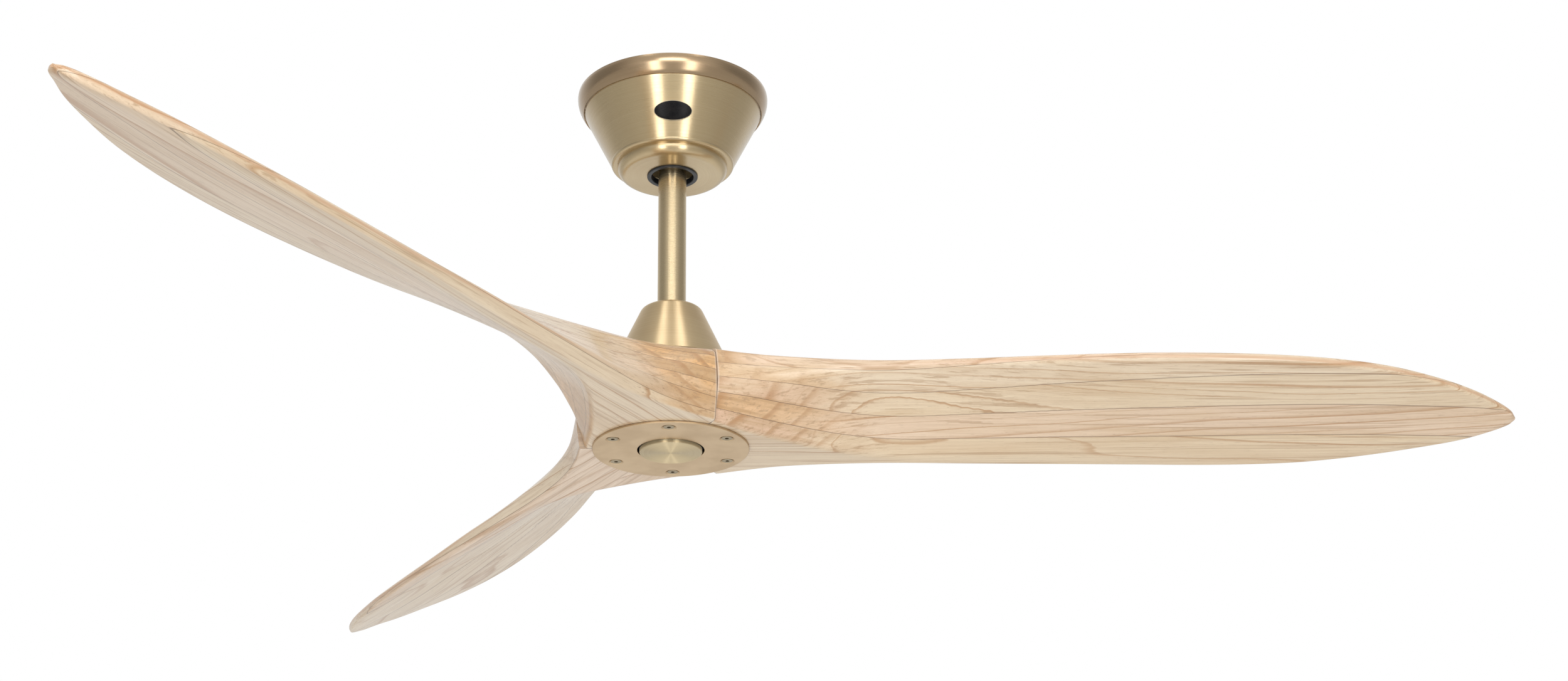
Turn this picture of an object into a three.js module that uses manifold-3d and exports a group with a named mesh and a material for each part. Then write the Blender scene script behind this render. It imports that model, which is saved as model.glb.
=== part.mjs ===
// Ceiling fan with a three-blade carved wooden propeller, hung from a ball joint by a short rod.
// Units are millimetres, +Z is up, and the origin is the centre of the hanger bracket's top face,
// which lies against the ceiling. The blade table is measured from the underside of the wood.

import * as THREE from 'three';
import { mergeVertices } from 'three/addons/utils/BufferGeometryUtils.js';
import Module from 'manifold-3d';

const wasm = await Module();
wasm.setup();

// ---- driving dimensions ------------------------------------------------------------------------

const fanRadius = 760;
const fanDrop = 355;            // ceiling to the underside of the clamp plate
const bladeCount = 3;
const propellerTurn = THREE.MathUtils.degToRad(-1.6);
const gap = 0.3;                // clearance between pieces that touch
const fine = 28;                // segments of a large turned piece
const coarse = 16;              // segments of a small turned piece

const rodRadius = 13;
const rodWall = 2;
const pinRadius = 3;
const pinHoleRadius = pinRadius + gap;

const ballRadius = 24;
const ballCentre = -54;
const ballTop = 12;             // flats above and below the ball's centre
const ballBottom = -15;

const bracketLength = 156;
const bracketWidth = 36;
const bracketSheet = 2.5;
const legReach = 38.5;          // outer faces of the bracket's legs
const seatBottom = -71;
const canopyScrewDepth = -10;
const canopyScrewOffset = 7;
const canopyScrewRadius = 2;

const canopySheet = 1.6;
const canopyRadius = 82.7;
const canopyHole = 22.3;
const canopyBottom = -82.2;
const coneTop = [82.4, -19.5];     // radius and height of the cone's ends
const coneFoot = [57.2, -70.2];
const ringRadius = 89.6;
const ringSheet = 1;
const badgeHeight = -49;
const badgeTurn = THREE.MathUtils.degToRad(-89.7);

const plateRadius = 70;
const plateOpening = 30;
const plateThickness = 2;
const capRadius = 28;
const screwCircle = 58;
const bladeScrewRadius = 2.5;
const woodBottom = plateThickness + gap;
const hubBore = 49;
const flangeRadius = 66;
const flangeBottom = 67;        // heights from here on are above the clamp plate's underside
const flangeTop = 71;

const housingRadius = hubBore - 0.5;
const housingWall = 4;
const magnetInner = 40.5;
const statorRadius = 39.7;
const statorBottom = 27;
const statorHeight = 26;
const toothCount = 9;
const shaftRadius = 8.5;
const shaftBore = 5;
const bearingRadius = 17.5;
const bearingHeight = 10;
const lowerBearingBottom = 8.3;
const upperBearingBottom = flangeBottom - gap - bearingHeight;
const housingFloor = 5;
const housingSplit = 12;        // where the lower housing meets the upper one
const motorScrewRadius = 1.25;
const magnetBottom = 22;
const magnetTop = 58;

const couplerRadius = 19;
const couplerBottom = 83;
const couplerStep = 102.5;      // where the shaft's bore becomes the rod's bore
const couplerTop = 128;
const couplingPinHeight = 112;
const rodBottom = 104;
const coverSheet = 1.5;

// ---- materials ---------------------------------------------------------------------------------

const finish = (color, roughness, metalness) =>
  new THREE.MeshStandardMaterial({ color, roughness, metalness });
const brass = finish(0xbfa878, 0.32, 1);
const wood = finish(0xd8bd98, 0.45, 0);
const steel = finish(0xb4b6b8, 0.35, 1);
const zincSteel = finish(0x9a9c98, 0.5, 1);
const castAlloy = finish(0x3a3b3c, 0.6, 0.6);
const copper = finish(0xa8622e, 0.4, 1);
const blackPlastic = finish(0x1c1f24, 0.4, 0);
const greyPlastic = finish(0xd9d9d4, 0.5, 0);
const badgeBlack = finish(0x0c0c0d, 0.2, 0);

// ---- solids ------------------------------------------------------------------------------------

function toSolid(geometry) {
  const bare = geometry.clone();
  bare.deleteAttribute('normal');
  bare.deleteAttribute('uv');
  const merged = mergeVertices(bare, 1e-5);
  const vertProperties = new Float32Array(merged.attributes.position.array);
  const triVerts = new Uint32Array(merged.index.array);
  return new wasm.Manifold(new wasm.Mesh({ numProp: 3, vertProperties, triVerts }));
}

function toGeometry(solid) {
  const mesh = solid.getMesh();
  const geometry = new THREE.BufferGeometry();
  geometry.setAttribute('position', new THREE.BufferAttribute(mesh.vertProperties, 3));
  geometry.setIndex(new THREE.BufferAttribute(mesh.triVerts, 1));
  return geometry;
}

const cut = (geometry, ...tools) =>
  toGeometry(tools.reduce((left, tool) => left.subtract(toSolid(tool)), toSolid(geometry)));

const join = (geometry, ...others) =>
  toGeometry(others.reduce((sum, other) => sum.add(toSolid(other)), toSolid(geometry)));

const overlap = (first, second) => toGeometry(toSolid(first).intersect(toSolid(second)));

// A closed profile of [radius, height] points, taken anticlockwise, turned about the Z axis.
function turned(profile, segments = fine) {
  const points = profile.map(([radius, height]) => new THREE.Vector2(radius, height));
  if (profile[0][0] > 0) points.push(points[0].clone());
  return new THREE.LatheGeometry(points, segments).rotateX(Math.PI / 2);
}

// A rod along 'x', 'y' or 'z' between two stations on that axis.
function bar(radius, from, to, axis = 'z', segments = coarse) {
  const geometry = new THREE.CylinderGeometry(radius, radius, to - from, segments);
  geometry.translate(0, (from + to) / 2, 0);
  if (axis === 'x') geometry.rotateZ(-Math.PI / 2);
  if (axis === 'z') geometry.rotateX(Math.PI / 2);
  return geometry;
}

function block([x0, y0, z0], [x1, y1, z1]) {
  const geometry = new THREE.BoxGeometry(x1 - x0, y1 - y0, z1 - z0);
  return geometry.translate((x0 + x1) / 2, (y0 + y1) / 2, (z0 + z1) / 2);
}

function slab(outline, from, to) {
  const shape = new THREE.Shape(outline.map(([x, y]) => new THREE.Vector2(x, y)));
  const geometry = new THREE.ExtrudeGeometry(shape, { depth: to - from, bevelEnabled: false });
  return geometry.translate(0, 0, from);
}

function arc([centreX, centreY], radius, fromDegrees, toDegrees, steps) {
  return Array.from({ length: steps + 1 }, (_, i) => {
    const angle = THREE.MathUtils.degToRad(fromDegrees + ((toDegrees - fromDegrees) * i) / steps);
    return [centreX + radius * Math.cos(angle), centreY + radius * Math.sin(angle)];
  });
}

function polar(radius, degrees) {
  const angle = THREE.MathUtils.degToRad(degrees);
  return [radius * Math.cos(angle), radius * Math.sin(angle)];
}

// ---- the assembly ------------------------------------------------------------------------------

const fan = new THREE.Group();
const motor = new THREE.Group();
motor.position.z = -fanDrop;
const propeller = new THREE.Group();
propeller.rotation.z = propellerTurn;
motor.add(propeller);
fan.add(motor);

function addPart(parent, name, geometry, material) {
  const mesh = new THREE.Mesh(geometry, material);
  mesh.name = name;
  parent.add(mesh);
  return mesh;
}

// ---- ceiling side ------------------------------------------------------------------------------

// Two rows of holes along X, which line up in the canopy and in the bracket.
function canopyScrewHoles(reach) {
  return [-canopyScrewOffset, canopyScrewOffset].map((y) =>
    bar(canopyScrewRadius + gap, -reach, reach, 'x').translate(0, y, canopyScrewDepth));
}

function hangerBracket() {
  const halfLength = bracketLength / 2;
  const halfWidth = bracketWidth / 2;
  const tabDepth = -17;
  const ledge = 3;
  const boltCentre = 62;
  const boltSlot = [10, 3.25];
  const wireHoleCentre = 45;
  const wireHoleRadius = 4.5;
  const seatRadius = ballRadius + 0.4;
  const seatOuter = 30;
  const seatTop = -60.5;
  const slotHalf = rodRadius + 3;
  const seatAngle = (height) => THREE.MathUtils.radToDeg(Math.asin((height - ballCentre) / seatRadius));
  const strip = block([-halfLength, -halfWidth, -bracketSheet], [halfLength, halfWidth, 0]);
  const ends = [-1, 1].flatMap((side) => {
    const tab = side * (halfLength - bracketSheet / 2);
    const leg = side * (legReach - bracketSheet / 2);
    return [
      block([tab - bracketSheet / 2, -halfWidth, tabDepth], [tab + bracketSheet / 2, halfWidth, -0.1]),
      block([leg - bracketSheet / 2, -halfWidth, seatBottom], [leg + bracketSheet / 2, halfWidth, -0.1]),
    ];
  });
  const shelf = cut(
    block([-legReach, -halfWidth, seatBottom], [legReach, halfWidth, seatBottom + ledge]),
    bar(seatOuter - ledge, seatBottom - 1, seatBottom + ledge + 1),
  );
  const seat = turned([
    [seatOuter, seatBottom],
    [seatOuter, seatTop],
    ...arc([0, ballCentre], seatRadius, seatAngle(seatTop), seatAngle(seatBottom + 0.1), 4),
  ]);
  const frontSlot = block([-slotHalf, -2 * seatOuter, seatBottom - 1], [slotHalf, 0, seatTop + 1]);
  const boltSlots = [-boltCentre, boltCentre].map((x) =>
    block([x - boltSlot[0], -boltSlot[1], -5], [x + boltSlot[0], boltSlot[1], 1]));
  const wireHoles = [-wireHoleCentre, wireHoleCentre].map((x) =>
    bar(wireHoleRadius, -5, 1).translate(x, 0, 0));
  const body = join(strip, ...ends, shelf, seat);
  return cut(body, frontSlot, ...boltSlots, ...wireHoles, ...canopyScrewHoles(halfLength + 1));
}

function canopy() {
  const inner = canopyRadius - canopySheet;
  const top = -0.6;
  const cupRadius = 51.3;
  const cupRounding = 8.3;
  const cupCorner = [cupRadius - cupRounding, canopyBottom + cupRounding];
  const lip = -72.9;
  const shell = turned([
    [canopyHole, canopyBottom],
    ...arc(cupCorner, cupRounding, -90, 0, 4),
    [cupRadius, lip],
    [coneFoot[0] - 1.8, lip],
    [coneFoot[0] - 0.4, lip + 1],
    coneFoot,
    coneTop,
    [canopyRadius, coneTop[1] + 2],
    [canopyRadius, top],
    [inner, top],
    [inner, coneTop[1] + 1.7],
    [coneTop[0] - canopySheet, coneTop[1] - 0.3],
    [coneFoot[0] - canopySheet, coneFoot[1] + 0.3],
    [coneFoot[0] - 2.6, lip + canopySheet],
    [cupRadius - canopySheet, lip + canopySheet],
    ...arc(cupCorner, cupRounding - canopySheet, 0, -90, 3),
    [canopyHole, canopyBottom + canopySheet],
  ]);
  return cut(shell, ...canopyScrewHoles(canopyRadius + 1));
}

// A quarter-round bead that hides the canopy's screws. It is widest where it meets the ceiling.
function canopyRing() {
  const beadRadius = 24;
  const centre = [ringRadius - beadRadius, -3];
  const top = -0.6;
  const lowest = -40;
  return turned([
    ...arc(centre, beadRadius, lowest, 0, 5),
    [ringRadius - 0.4, top],
    [ringRadius - ringSheet, top],
    ...arc(centre, beadRadius - ringSheet, 0, lowest, 5),
  ]);
}

function canopyCollar() {
  const bore = 19.6;
  const flange = 23.6;
  const face = canopyBottom - 1.5;
  const top = canopyBottom + 4.5;
  return turned([
    [bore, face + 0.5],
    [bore + 0.5, face],
    [flange - 0.5, face],
    [flange, face + 0.5],
    [flange, canopyBottom - gap],
    [canopyHole - gap, canopyBottom - gap],
    [canopyHole - gap, canopyBottom + canopySheet + gap],
    [flange - gap, canopyBottom + canopySheet + gap],
    [flange - 1, top],
    [bore, top],
  ], 24);
}

// A plain oval plaque wrapped on the canopy's cone.
function canopyBadge() {
  const lift = 0.35;
  const thickness = 0.9;
  const halfWidth = 17.5;
  const halfHeight = 8.3;
  const skin = (offset) => [[coneFoot[0] + offset, coneFoot[1]], [coneTop[0] + offset, coneTop[1]]];
  const band = turned([...skin(lift + thickness), ...skin(lift).reverse()], 60);
  const oval = bar(1, 40, 100, 'x', 28).scale(1, halfWidth, halfHeight);
  oval.translate(0, 0, badgeHeight).rotateZ(badgeTurn);
  return overlap(band, oval);
}

function canopyScrew(side, offset) {
  const headRadius = 3;
  const headFace = canopyRadius + gap + 1.3;
  const tip = bracketLength / 2 - 4;
  const screw = join(
    bar(canopyScrewRadius, tip, headFace - 1, 'x', 12),
    bar(headRadius, canopyRadius + gap, headFace, 'x', 12),
  );
  const slotted = cut(screw, block([headFace - 0.8, -4, -0.4], [headFace + 1, 4, 0.4]));
  return slotted.rotateZ(side > 0 ? 0 : Math.PI).translate(0, offset, canopyScrewDepth);
}

function receiverBox() {
  const half = [29, 15];
  const corner = 3;
  const bottom = -24;
  const outline = [[1, 1, 0], [-1, 1, 90], [-1, -1, 180], [1, -1, 270]].flatMap(([x, y, start]) =>
    arc([x * (half[0] - corner), y * (half[1] - corner)], corner, start, start + 90, 3));
  return slab(outline, bottom, -bracketSheet - gap);
}

function terminalBlock() {
  const face = legReach + 11;
  const middle = -41;
  const body = block([legReach + gap, -11, middle - 9], [face, 11, middle + 9]);
  const sockets = [-7, 0, 7].map((y) => bar(2.2, face - 6, face + 1, 'x', 12).translate(0, y, middle));
  return cut(body, ...sockets);
}

addPart(fan, 'hanger_bracket', hangerBracket(), zincSteel);
addPart(fan, 'canopy', canopy(), brass);
addPart(fan, 'canopy_ring', canopyRing(), brass);
addPart(fan, 'canopy_collar', canopyCollar(), blackPlastic);
addPart(fan, 'canopy_badge', canopyBadge(), badgeBlack);
addPart(fan, 'receiver_box', receiverBox(), greyPlastic);
addPart(fan, 'terminal_block', terminalBlock(), greyPlastic);
[[1, 1], [1, -1], [-1, 1], [-1, -1]].forEach(([side, row], i) => {
  addPart(fan, `canopy_screw_${i + 1}`, canopyScrew(side, row * canopyScrewOffset), steel);
});

// ---- hanger ball and rod -----------------------------------------------------------------------

// The ball's bore flares from its middle, so that the rod can rock on the cross pin.
function hangerBall() {
  const angle = (height) => THREE.MathUtils.radToDeg(Math.asin(height / ballRadius));
  const ball = turned([
    [rodRadius + 2.4, ballBottom],
    ...arc([0, 0], ballRadius, angle(ballBottom), angle(ballTop), 8),
    [rodRadius + 2, ballTop],
    [rodRadius + 0.4, 0],
  ], 24);
  return cut(ball, bar(pinHoleRadius, -30, 30, 'x', 16)).translate(0, 0, ballCentre);
}

function downrod() {
  const top = ballCentre + ballTop + 2;
  const bottom = rodBottom - fanDrop;
  const tube = turned([
    [rodRadius - rodWall, bottom],
    [rodRadius, bottom],
    [rodRadius, top],
    [rodRadius - rodWall, top],
  ], 24);
  const ballPinHole = bar(pinHoleRadius, -20, 20, 'x', 16).translate(0, 0, ballCentre);
  const couplingPinHole = bar(pinHoleRadius, -20, 20, 'y', 16)
    .translate(0, 0, couplingPinHeight - fanDrop);
  return cut(tube, ballPinHole, couplingPinHole);
}

addPart(fan, 'hanger_ball', hangerBall(), blackPlastic);
addPart(fan, 'ball_pin', bar(pinRadius, -22, 22, 'x', 16).translate(0, 0, ballCentre), steel);
addPart(fan, 'downrod', downrod(), brass);

// ---- coupling ----------------------------------------------------------------------------------

// Side, height and inner end of each grub screw: two hold the rod and one holds the shaft.
const grubPlaces = [
  [1, 122, rodRadius + gap],
  [-1, 122, rodRadius + gap],
  [1, 92, shaftRadius + gap],
];
const grubRadius = 2.9;

function hexPrism(radius, from, to, axis) {
  return bar(radius, from, to, axis, 6);
}

function couplingCover() {
  const shoulder = [22.5, 129.5];
  const shoulderRadius = 7;
  const slope = 24;
  const foot = [53.2, 79];
  return turned([
    [foot[0] - coverSheet, foot[1]],
    foot,
    ...arc(shoulder, shoulderRadius, slope, 90, 4),
    [rodRadius + 0.4, shoulder[1] + shoulderRadius],
    [rodRadius + 0.4, shoulder[1] + shoulderRadius - coverSheet],
    ...arc(shoulder, shoulderRadius - coverSheet, 90, slope, 3),
  ]);
}

function shaftCoupler() {
  const body = turned([
    [shaftRadius + gap, couplerBottom],
    [couplerRadius, couplerBottom],
    [couplerRadius, couplerTop],
    [rodRadius + gap, couplerTop],
    [rodRadius + gap, couplerStep],
    [shaftRadius + gap, couplerStep],
  ], 24);
  const pinHole = bar(pinHoleRadius, -25, 25, 'y', 16).translate(0, 0, couplingPinHeight);
  const grubHoles = grubPlaces.map(([side, height, inner]) =>
    bar(grubRadius + gap, inner - 1, couplerRadius + 1, 'x', 16)
      .rotateZ(side > 0 ? 0 : Math.PI)
      .translate(0, 0, height));
  return cut(body, pinHole, ...grubHoles);
}

function grubScrew([side, height, inner]) {
  const outer = couplerRadius + 0.5;
  const body = cut(bar(grubRadius, inner, outer, 'x', 16), hexPrism(1.5, outer - 2.5, outer + 1, 'x'));
  return body.rotateZ(side > 0 ? 0 : Math.PI).translate(0, 0, height);
}

const clipGroove = [20, 21.4];

function couplingPin() {
  const headRadius = 5;
  const grooveRadius = 2.2;
  const shank = bar(pinRadius, -20.5, 23, 'y', 16);
  const head = bar(headRadius, -22, -couplerRadius - gap, 'y', 16);
  const groove = cut(bar(4, ...clipGroove, 'y', 16), bar(grooveRadius, 19, 22, 'y', 16));
  return cut(join(shank, head), groove).translate(0, 0, couplingPinHeight);
}

// A spring clip in the pin's groove: a ring of wire with a mouth.
function couplingClip() {
  const outline = [...arc([0, 0], 5.5, 30, 330, 12), ...arc([0, 0], 2.5, 330, 30, 8)];
  return slab(outline, clipGroove[0] + gap, clipGroove[1] - gap)
    .rotateX(-Math.PI / 2)
    .translate(0, 0, couplingPinHeight);
}

addPart(motor, 'coupling_cover', couplingCover(), brass);
addPart(motor, 'shaft_coupler', shaftCoupler(), zincSteel);
addPart(motor, 'coupling_pin', couplingPin(), steel);
addPart(motor, 'coupling_clip', couplingClip(), steel);
grubPlaces.forEach((place, i) => addPart(motor, `grub_screw_${i + 1}`, grubScrew(place), steel));

// ---- motor, still parts ------------------------------------------------------------------------

function motorShaft() {
  const bottom = 4;
  const top = couplerStep - gap;
  return turned([[shaftBore, bottom], [shaftRadius, bottom], [shaftRadius, top], [shaftBore, top]], coarse);
}

const toothHalf = 4;

function statorCore() {
  const hubRadius = 19;
  const shoeInner = 36.2;
  const shoeHalfAngle = 16;
  const pitch = 360 / toothCount;
  const root = THREE.MathUtils.radToDeg(Math.asin(toothHalf / hubRadius));
  const neck = THREE.MathUtils.radToDeg(Math.asin(toothHalf / shoeInner));
  const outline = Array.from({ length: toothCount }, (_, i) => [
    polar(hubRadius, i * pitch - root),
    polar(shoeInner, i * pitch - neck),
    polar(shoeInner, i * pitch - shoeHalfAngle),
    ...arc([0, 0], statorRadius, i * pitch - shoeHalfAngle, i * pitch + shoeHalfAngle, 4),
    polar(shoeInner, i * pitch + shoeHalfAngle),
    polar(shoeInner, i * pitch + neck),
    polar(hubRadius, i * pitch + root),
  ]).flat();
  const core = slab(outline, statorBottom, statorBottom + statorHeight);
  return cut(core, bar(shaftRadius + gap, statorBottom - 1, statorBottom + statorHeight + 1));
}

// A coil is a rectangular ring around one tooth.
function statorCoil() {
  const innerHalf = toothHalf + gap;
  const outerHalf = 7;
  const build = 4.5;
  const inner = 22;
  const outer = 35.2;
  const top = statorBottom + statorHeight;
  return cut(
    block([inner, -outerHalf, statorBottom - build], [outer, outerHalf, top + build]),
    block([inner - 1, -innerHalf, statorBottom - gap], [outer + 1, innerHalf, top + gap]),
  );
}

function centreCap() {
  const face = -2.5;
  const back = 1.2;
  const edge = 0.8;
  const spigotTop = 16;
  return turned([
    [0, face],
    [capRadius - edge, face],
    [capRadius, face + edge],
    [capRadius, back],
    [shaftBore - gap, back],
    [shaftBore - gap, spigotTop],
    [0, spigotTop],
  ]);
}

addPart(motor, 'motor_shaft', motorShaft(), steel);
addPart(motor, 'stator_core', statorCore(), zincSteel);
for (let i = 0; i < toothCount; i += 1) {
  const coil = addPart(motor, `stator_coil_${i + 1}`, statorCoil(), copper);
  coil.rotation.z = (i * 2 * Math.PI) / toothCount;
}
addPart(motor, 'centre_cap', centreCap(), brass);

// ---- motor, turning parts ----------------------------------------------------------------------

const motorScrewCircle = housingRadius - housingWall / 2 - 0.3;
const motorScrewAngles = [45, 135, 225, 315];
const motorScrewTop = 20;
const bearingSeatRadius = bearingRadius + 3;
const shaftClearance = 0.8;
const bladeScrewAngles = [-90, -30, 30, 90, 150, 210];

function atAngles(geometry, radius, angles) {
  return angles.map((degrees) => geometry.clone().translate(...polar(radius, degrees), 0));
}

function upperHousing() {
  const wallInner = housingRadius - housingWall;
  const body = turned([
    [shaftRadius + shaftClearance, flangeBottom],
    [bearingRadius + gap, flangeBottom],
    [bearingRadius + gap, upperBearingBottom],
    [bearingSeatRadius, upperBearingBottom],
    [bearingSeatRadius, flangeBottom - 3],
    [wallInner, flangeBottom - 3],
    [wallInner, housingSplit],
    [housingRadius, housingSplit],
    [housingRadius, flangeBottom],
    [flangeRadius, flangeBottom],
    [flangeRadius, flangeTop - 0.6],
    [flangeRadius - 0.6, flangeTop],
    [shaftRadius + shaftClearance, flangeTop],
  ]);
  const flangeHole = bar(bladeScrewRadius + gap, flangeBottom - 1, flangeTop + 1, 'z', 12);
  const screwHole = bar(motorScrewRadius + gap, housingSplit - 1, motorScrewTop + 1, 'z', 10);
  return cut(
    body,
    ...atAngles(flangeHole, screwCircle, bladeScrewAngles),
    ...atAngles(screwHole, motorScrewCircle, motorScrewAngles),
  );
}

function lowerHousing() {
  const floor = lowerBearingBottom - gap;
  const rim = housingSplit - gap;
  const rimInner = housingRadius - housingWall;
  const body = turned([
    [shaftRadius + shaftClearance, housingFloor],
    [housingRadius, housingFloor],
    [housingRadius, rim],
    [rimInner, rim],
    [rimInner, floor],
    [bearingSeatRadius, floor],
    [bearingSeatRadius, floor + bearingHeight],
    [bearingRadius + gap, floor + bearingHeight],
    [bearingRadius + gap, floor],
    [shaftRadius + shaftClearance, floor],
  ]);
  const screwHole = bar(motorScrewRadius + gap, housingFloor - 1, housingSplit + 1, 'z', 10);
  return cut(body, ...atAngles(screwHole, motorScrewCircle, motorScrewAngles));
}

function bearing(bottom) {
  const bore = shaftRadius + 0.1;
  const top = bottom + bearingHeight;
  return turned([[bore, bottom], [bearingRadius, bottom], [bearingRadius, top], [bore, top]], 24);
}

function magnetRing() {
  const outer = housingRadius - housingWall - gap;
  return turned([
    [magnetInner, magnetBottom],
    [outer, magnetBottom],
    [outer, magnetTop],
    [magnetInner, magnetTop],
  ]);
}

function motorScrew() {
  const headRadius = 2.2;
  const headFace = 3.3;
  return join(
    bar(motorScrewRadius, headFace + 0.5, motorScrewTop, 'z', 10),
    bar(headRadius, headFace, housingFloor - gap, 'z', 10),
  );
}

addPart(propeller, 'upper_motor_housing', upperHousing(), castAlloy);
addPart(propeller, 'lower_motor_housing', lowerHousing(), castAlloy);
addPart(propeller, 'magnet_ring', magnetRing(), zincSteel);
addPart(propeller, 'upper_bearing', bearing(upperBearingBottom), steel);
addPart(propeller, 'lower_bearing', bearing(lowerBearingBottom), steel);
motorScrewAngles.forEach((degrees, i) => {
  const screw = addPart(propeller, `motor_screw_${i + 1}`, motorScrew(), steel);
  screw.position.set(...polar(motorScrewCircle, degrees), 0);
});

// ---- propeller ---------------------------------------------------------------------------------

// Blade stations. The blade points along +X, its leading edge is high at -Y and its trailing edge
// low at +Y. Each row is the distance out, then y and z of the leading edge's top corner, how far
// its lower corner stands out and lies below, y and z of the crease between the flat underside and
// the pitched face, of the trailing edge's low and high corners, and of the crown of the top face.
const stations = [
  [20, -80, 68.5, 6, 33, -76, 0, 77, 0, 82, 65, 70, 70.5],
  [42, -69, 68, 7, 33, -64, 0, 70, 0, 71, 63, 58, 70],
  [70, -60, 67.5, 9, 30, -40, 0, 60, 0, 60, 46, 40, 69],
  [100, -54, 67, 8, 23, -18, 0, 51.5, 0, 53, 25, 24, 68],
  [150, -50, 65.5, 4, 13, 12, 0, 43, -1, 51, 12, 12, 63],
  [200, -51, 64, 1, 9, 28, 0.5, 40, -1.5, 51, 9.5, 1, 58],
  [270, -61, 61.5, 1, 8, 29, 1.5, 42, -2, 50, 9, -16, 53],
  [340, -73, 59, 1, 8, 31, 1.5, 45, -2, 50.5, 9, -34, 52],
  [420, -82, 57, 1, 8, 34, 1.5, 48, -2, 50.5, 7.5, -42, 51],
  [500, -85, 54.5, 1, 8, 36, 1.5, 49, -2.5, 50.5, 6.5, -44, 49],
  [570, -81, 52, 1, 8, 34, 2, 46.5, -1.5, 47.5, 7.5, -42, 46],
  [630, -70, 48.5, 1, 7.5, 27, 5, 39, 2, 40.5, 10.5, -36, 43],
  [680, -52, 43.5, 1, 7, 19, 9, 30, 6.5, 31.5, 14.5, -26, 39],
  [715, -35, 38.5, 1, 7, 12, 12.5, 21, 10, 22.5, 18, -15, 35],
  [740, -19, 33.5, 1, 6, 5, 16, 12, 14.5, 13.5, 22, -7, 30.5],
  [755, -8, 28.5, 1, 5, 1.5, 19.5, 5, 18.5, 6.5, 24, -2, 27],
  [760, -1, 24.5, 0.5, 2, 0.8, 22, 1.2, 22, 1.6, 24, 0.5, 25],
];

// Cubic through the rows, with each slope taken from the rows on either side.
function station(distance) {
  const last = stations.length - 2;
  const i = Math.min(last, stations.findIndex((row, k) => k > last || distance <= stations[k + 1][0]));
  const rows = [Math.max(0, i - 1), i, i + 1, Math.min(last + 1, i + 2)].map((k) => stations[k]);
  const span = rows[2][0] - rows[1][0];
  const t = (distance - rows[1][0]) / span;
  return stations[0].map((_, column) => {
    const [before, start, end, after] = rows.map((row) => row[column]);
    const slopeStart = ((end - before) * span) / (rows[2][0] - rows[0][0]);
    const slopeEnd = ((after - start) * span) / (rows[3][0] - rows[1][0]);
    const cubic = 2 * start - 2 * end + slopeStart + slopeEnd;
    const square = 3 * end - 3 * start - 2 * slopeStart - slopeEnd;
    return ((cubic * t + square) * t + slopeStart) * t + start;
  });
}

// The corners of a blade section as [y, z, rounding], anticlockwise seen from the hub.
function sectionCorners(distance) {
  const [, leadY, leadZ, noseOut, noseDrop, creaseY, creaseZ, lowY, lowZ, highY, highZ, crownY, crownZ] =
    station(distance);
  const rootShare = THREE.MathUtils.clamp((200 - distance) / 160, 0, 1);
  const wallBulge = 1.5 + 2.5 * rootShare;
  const edge = Math.min(4, (highZ - lowZ) / 2.5);
  return [
    [leadY, leadZ, edge],
    [leadY - noseOut, leadZ - noseDrop, edge + 18 * rootShare],
    [creaseY, creaseZ, 5],
    [lowY, lowZ, edge * 0.6],
    [(lowY + highY) / 2 + wallBulge, (lowZ + highZ) / 2, edge + 14 * rootShare],
    [highY, highZ, edge],
    [crownY, crownZ, 14],
  ];
}

// Each corner becomes a short curve, so every section has the same number of points.
function sectionLoop(distance, pointsPerCorner) {
  const corners = sectionCorners(distance);
  return corners.flatMap(([y, z, rounding], i) => {
    const [beforeY, beforeZ] = corners[(i + corners.length - 1) % corners.length];
    const [afterY, afterZ] = corners[(i + 1) % corners.length];
    const reach = (toY, toZ) => {
      const length = Math.hypot(toY - y, toZ - z);
      return Math.min(rounding, 0.45 * length) / length;
    };
    const before = reach(beforeY, beforeZ);
    const after = reach(afterY, afterZ);
    const curve = new THREE.QuadraticBezierCurve(
      new THREE.Vector2(y + (beforeY - y) * before, z + (beforeZ - z) * before),
      new THREE.Vector2(y, z),
      new THREE.Vector2(y + (afterY - y) * after, z + (afterZ - z) * after),
    );
    return curve.getPoints(pointsPerCorner - 1);
  });
}

const sectionDistances = [
  20, 34, 46, 60, 78, 100, 130, 165, 205, 260, 335, 420, 500, 575, 635, 685, 722, 746, 756, fanRadius,
];

// The blank of one blade: sections along X, skinned and closed at both ends with a fan of faces.
function bladeBlank() {
  const loops = sectionDistances.map((distance) => sectionLoop(distance, 3));
  const count = loops[0].length;
  const position = [];
  const index = [];
  const addPoint = (i, point) => position.push(sectionDistances[i], point.x, point.y + woodBottom);
  loops.forEach((loop, i) => loop.forEach((point) => addPoint(i, point)));
  for (let i = 0; i < loops.length - 1; i += 1) {
    for (let j = 0; j < count; j += 1) {
      const here = i * count + j;
      const beside = i * count + ((j + 1) % count);
      index.push(here, beside, here + count, beside, beside + count, here + count);
    }
  }
  [0, loops.length - 1].forEach((i) => {
    const centre = position.length / 3;
    const mean = loops[i].reduce((sum, point) => sum.add(point), new THREE.Vector2()).divideScalar(count);
    addPoint(i, mean);
    for (let j = 0; j < count; j += 1) {
      const pair = [i * count + j, i * count + ((j + 1) % count)];
      index.push(centre, ...(i === 0 ? pair.reverse() : pair));
    }
  });
  const geometry = new THREE.BufferGeometry();
  geometry.setAttribute('position', new THREE.Float32BufferAttribute(position, 3));
  geometry.setIndex(index);
  return geometry;
}

const hubCut = [-20, 100];      // cutting tools run clear of the wood, below and above

// A third of a turn about the blade, short of each seam by half the gap.
function sectorWedge() {
  const apex = gap / 2 / Math.sin(Math.PI / 3);
  const length = fanRadius + 20;
  const half = (length - apex) * Math.tan(Math.PI / 3);
  return slab([[apex, 0], [length, -half], [length, half]], ...hubCut);
}

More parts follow.
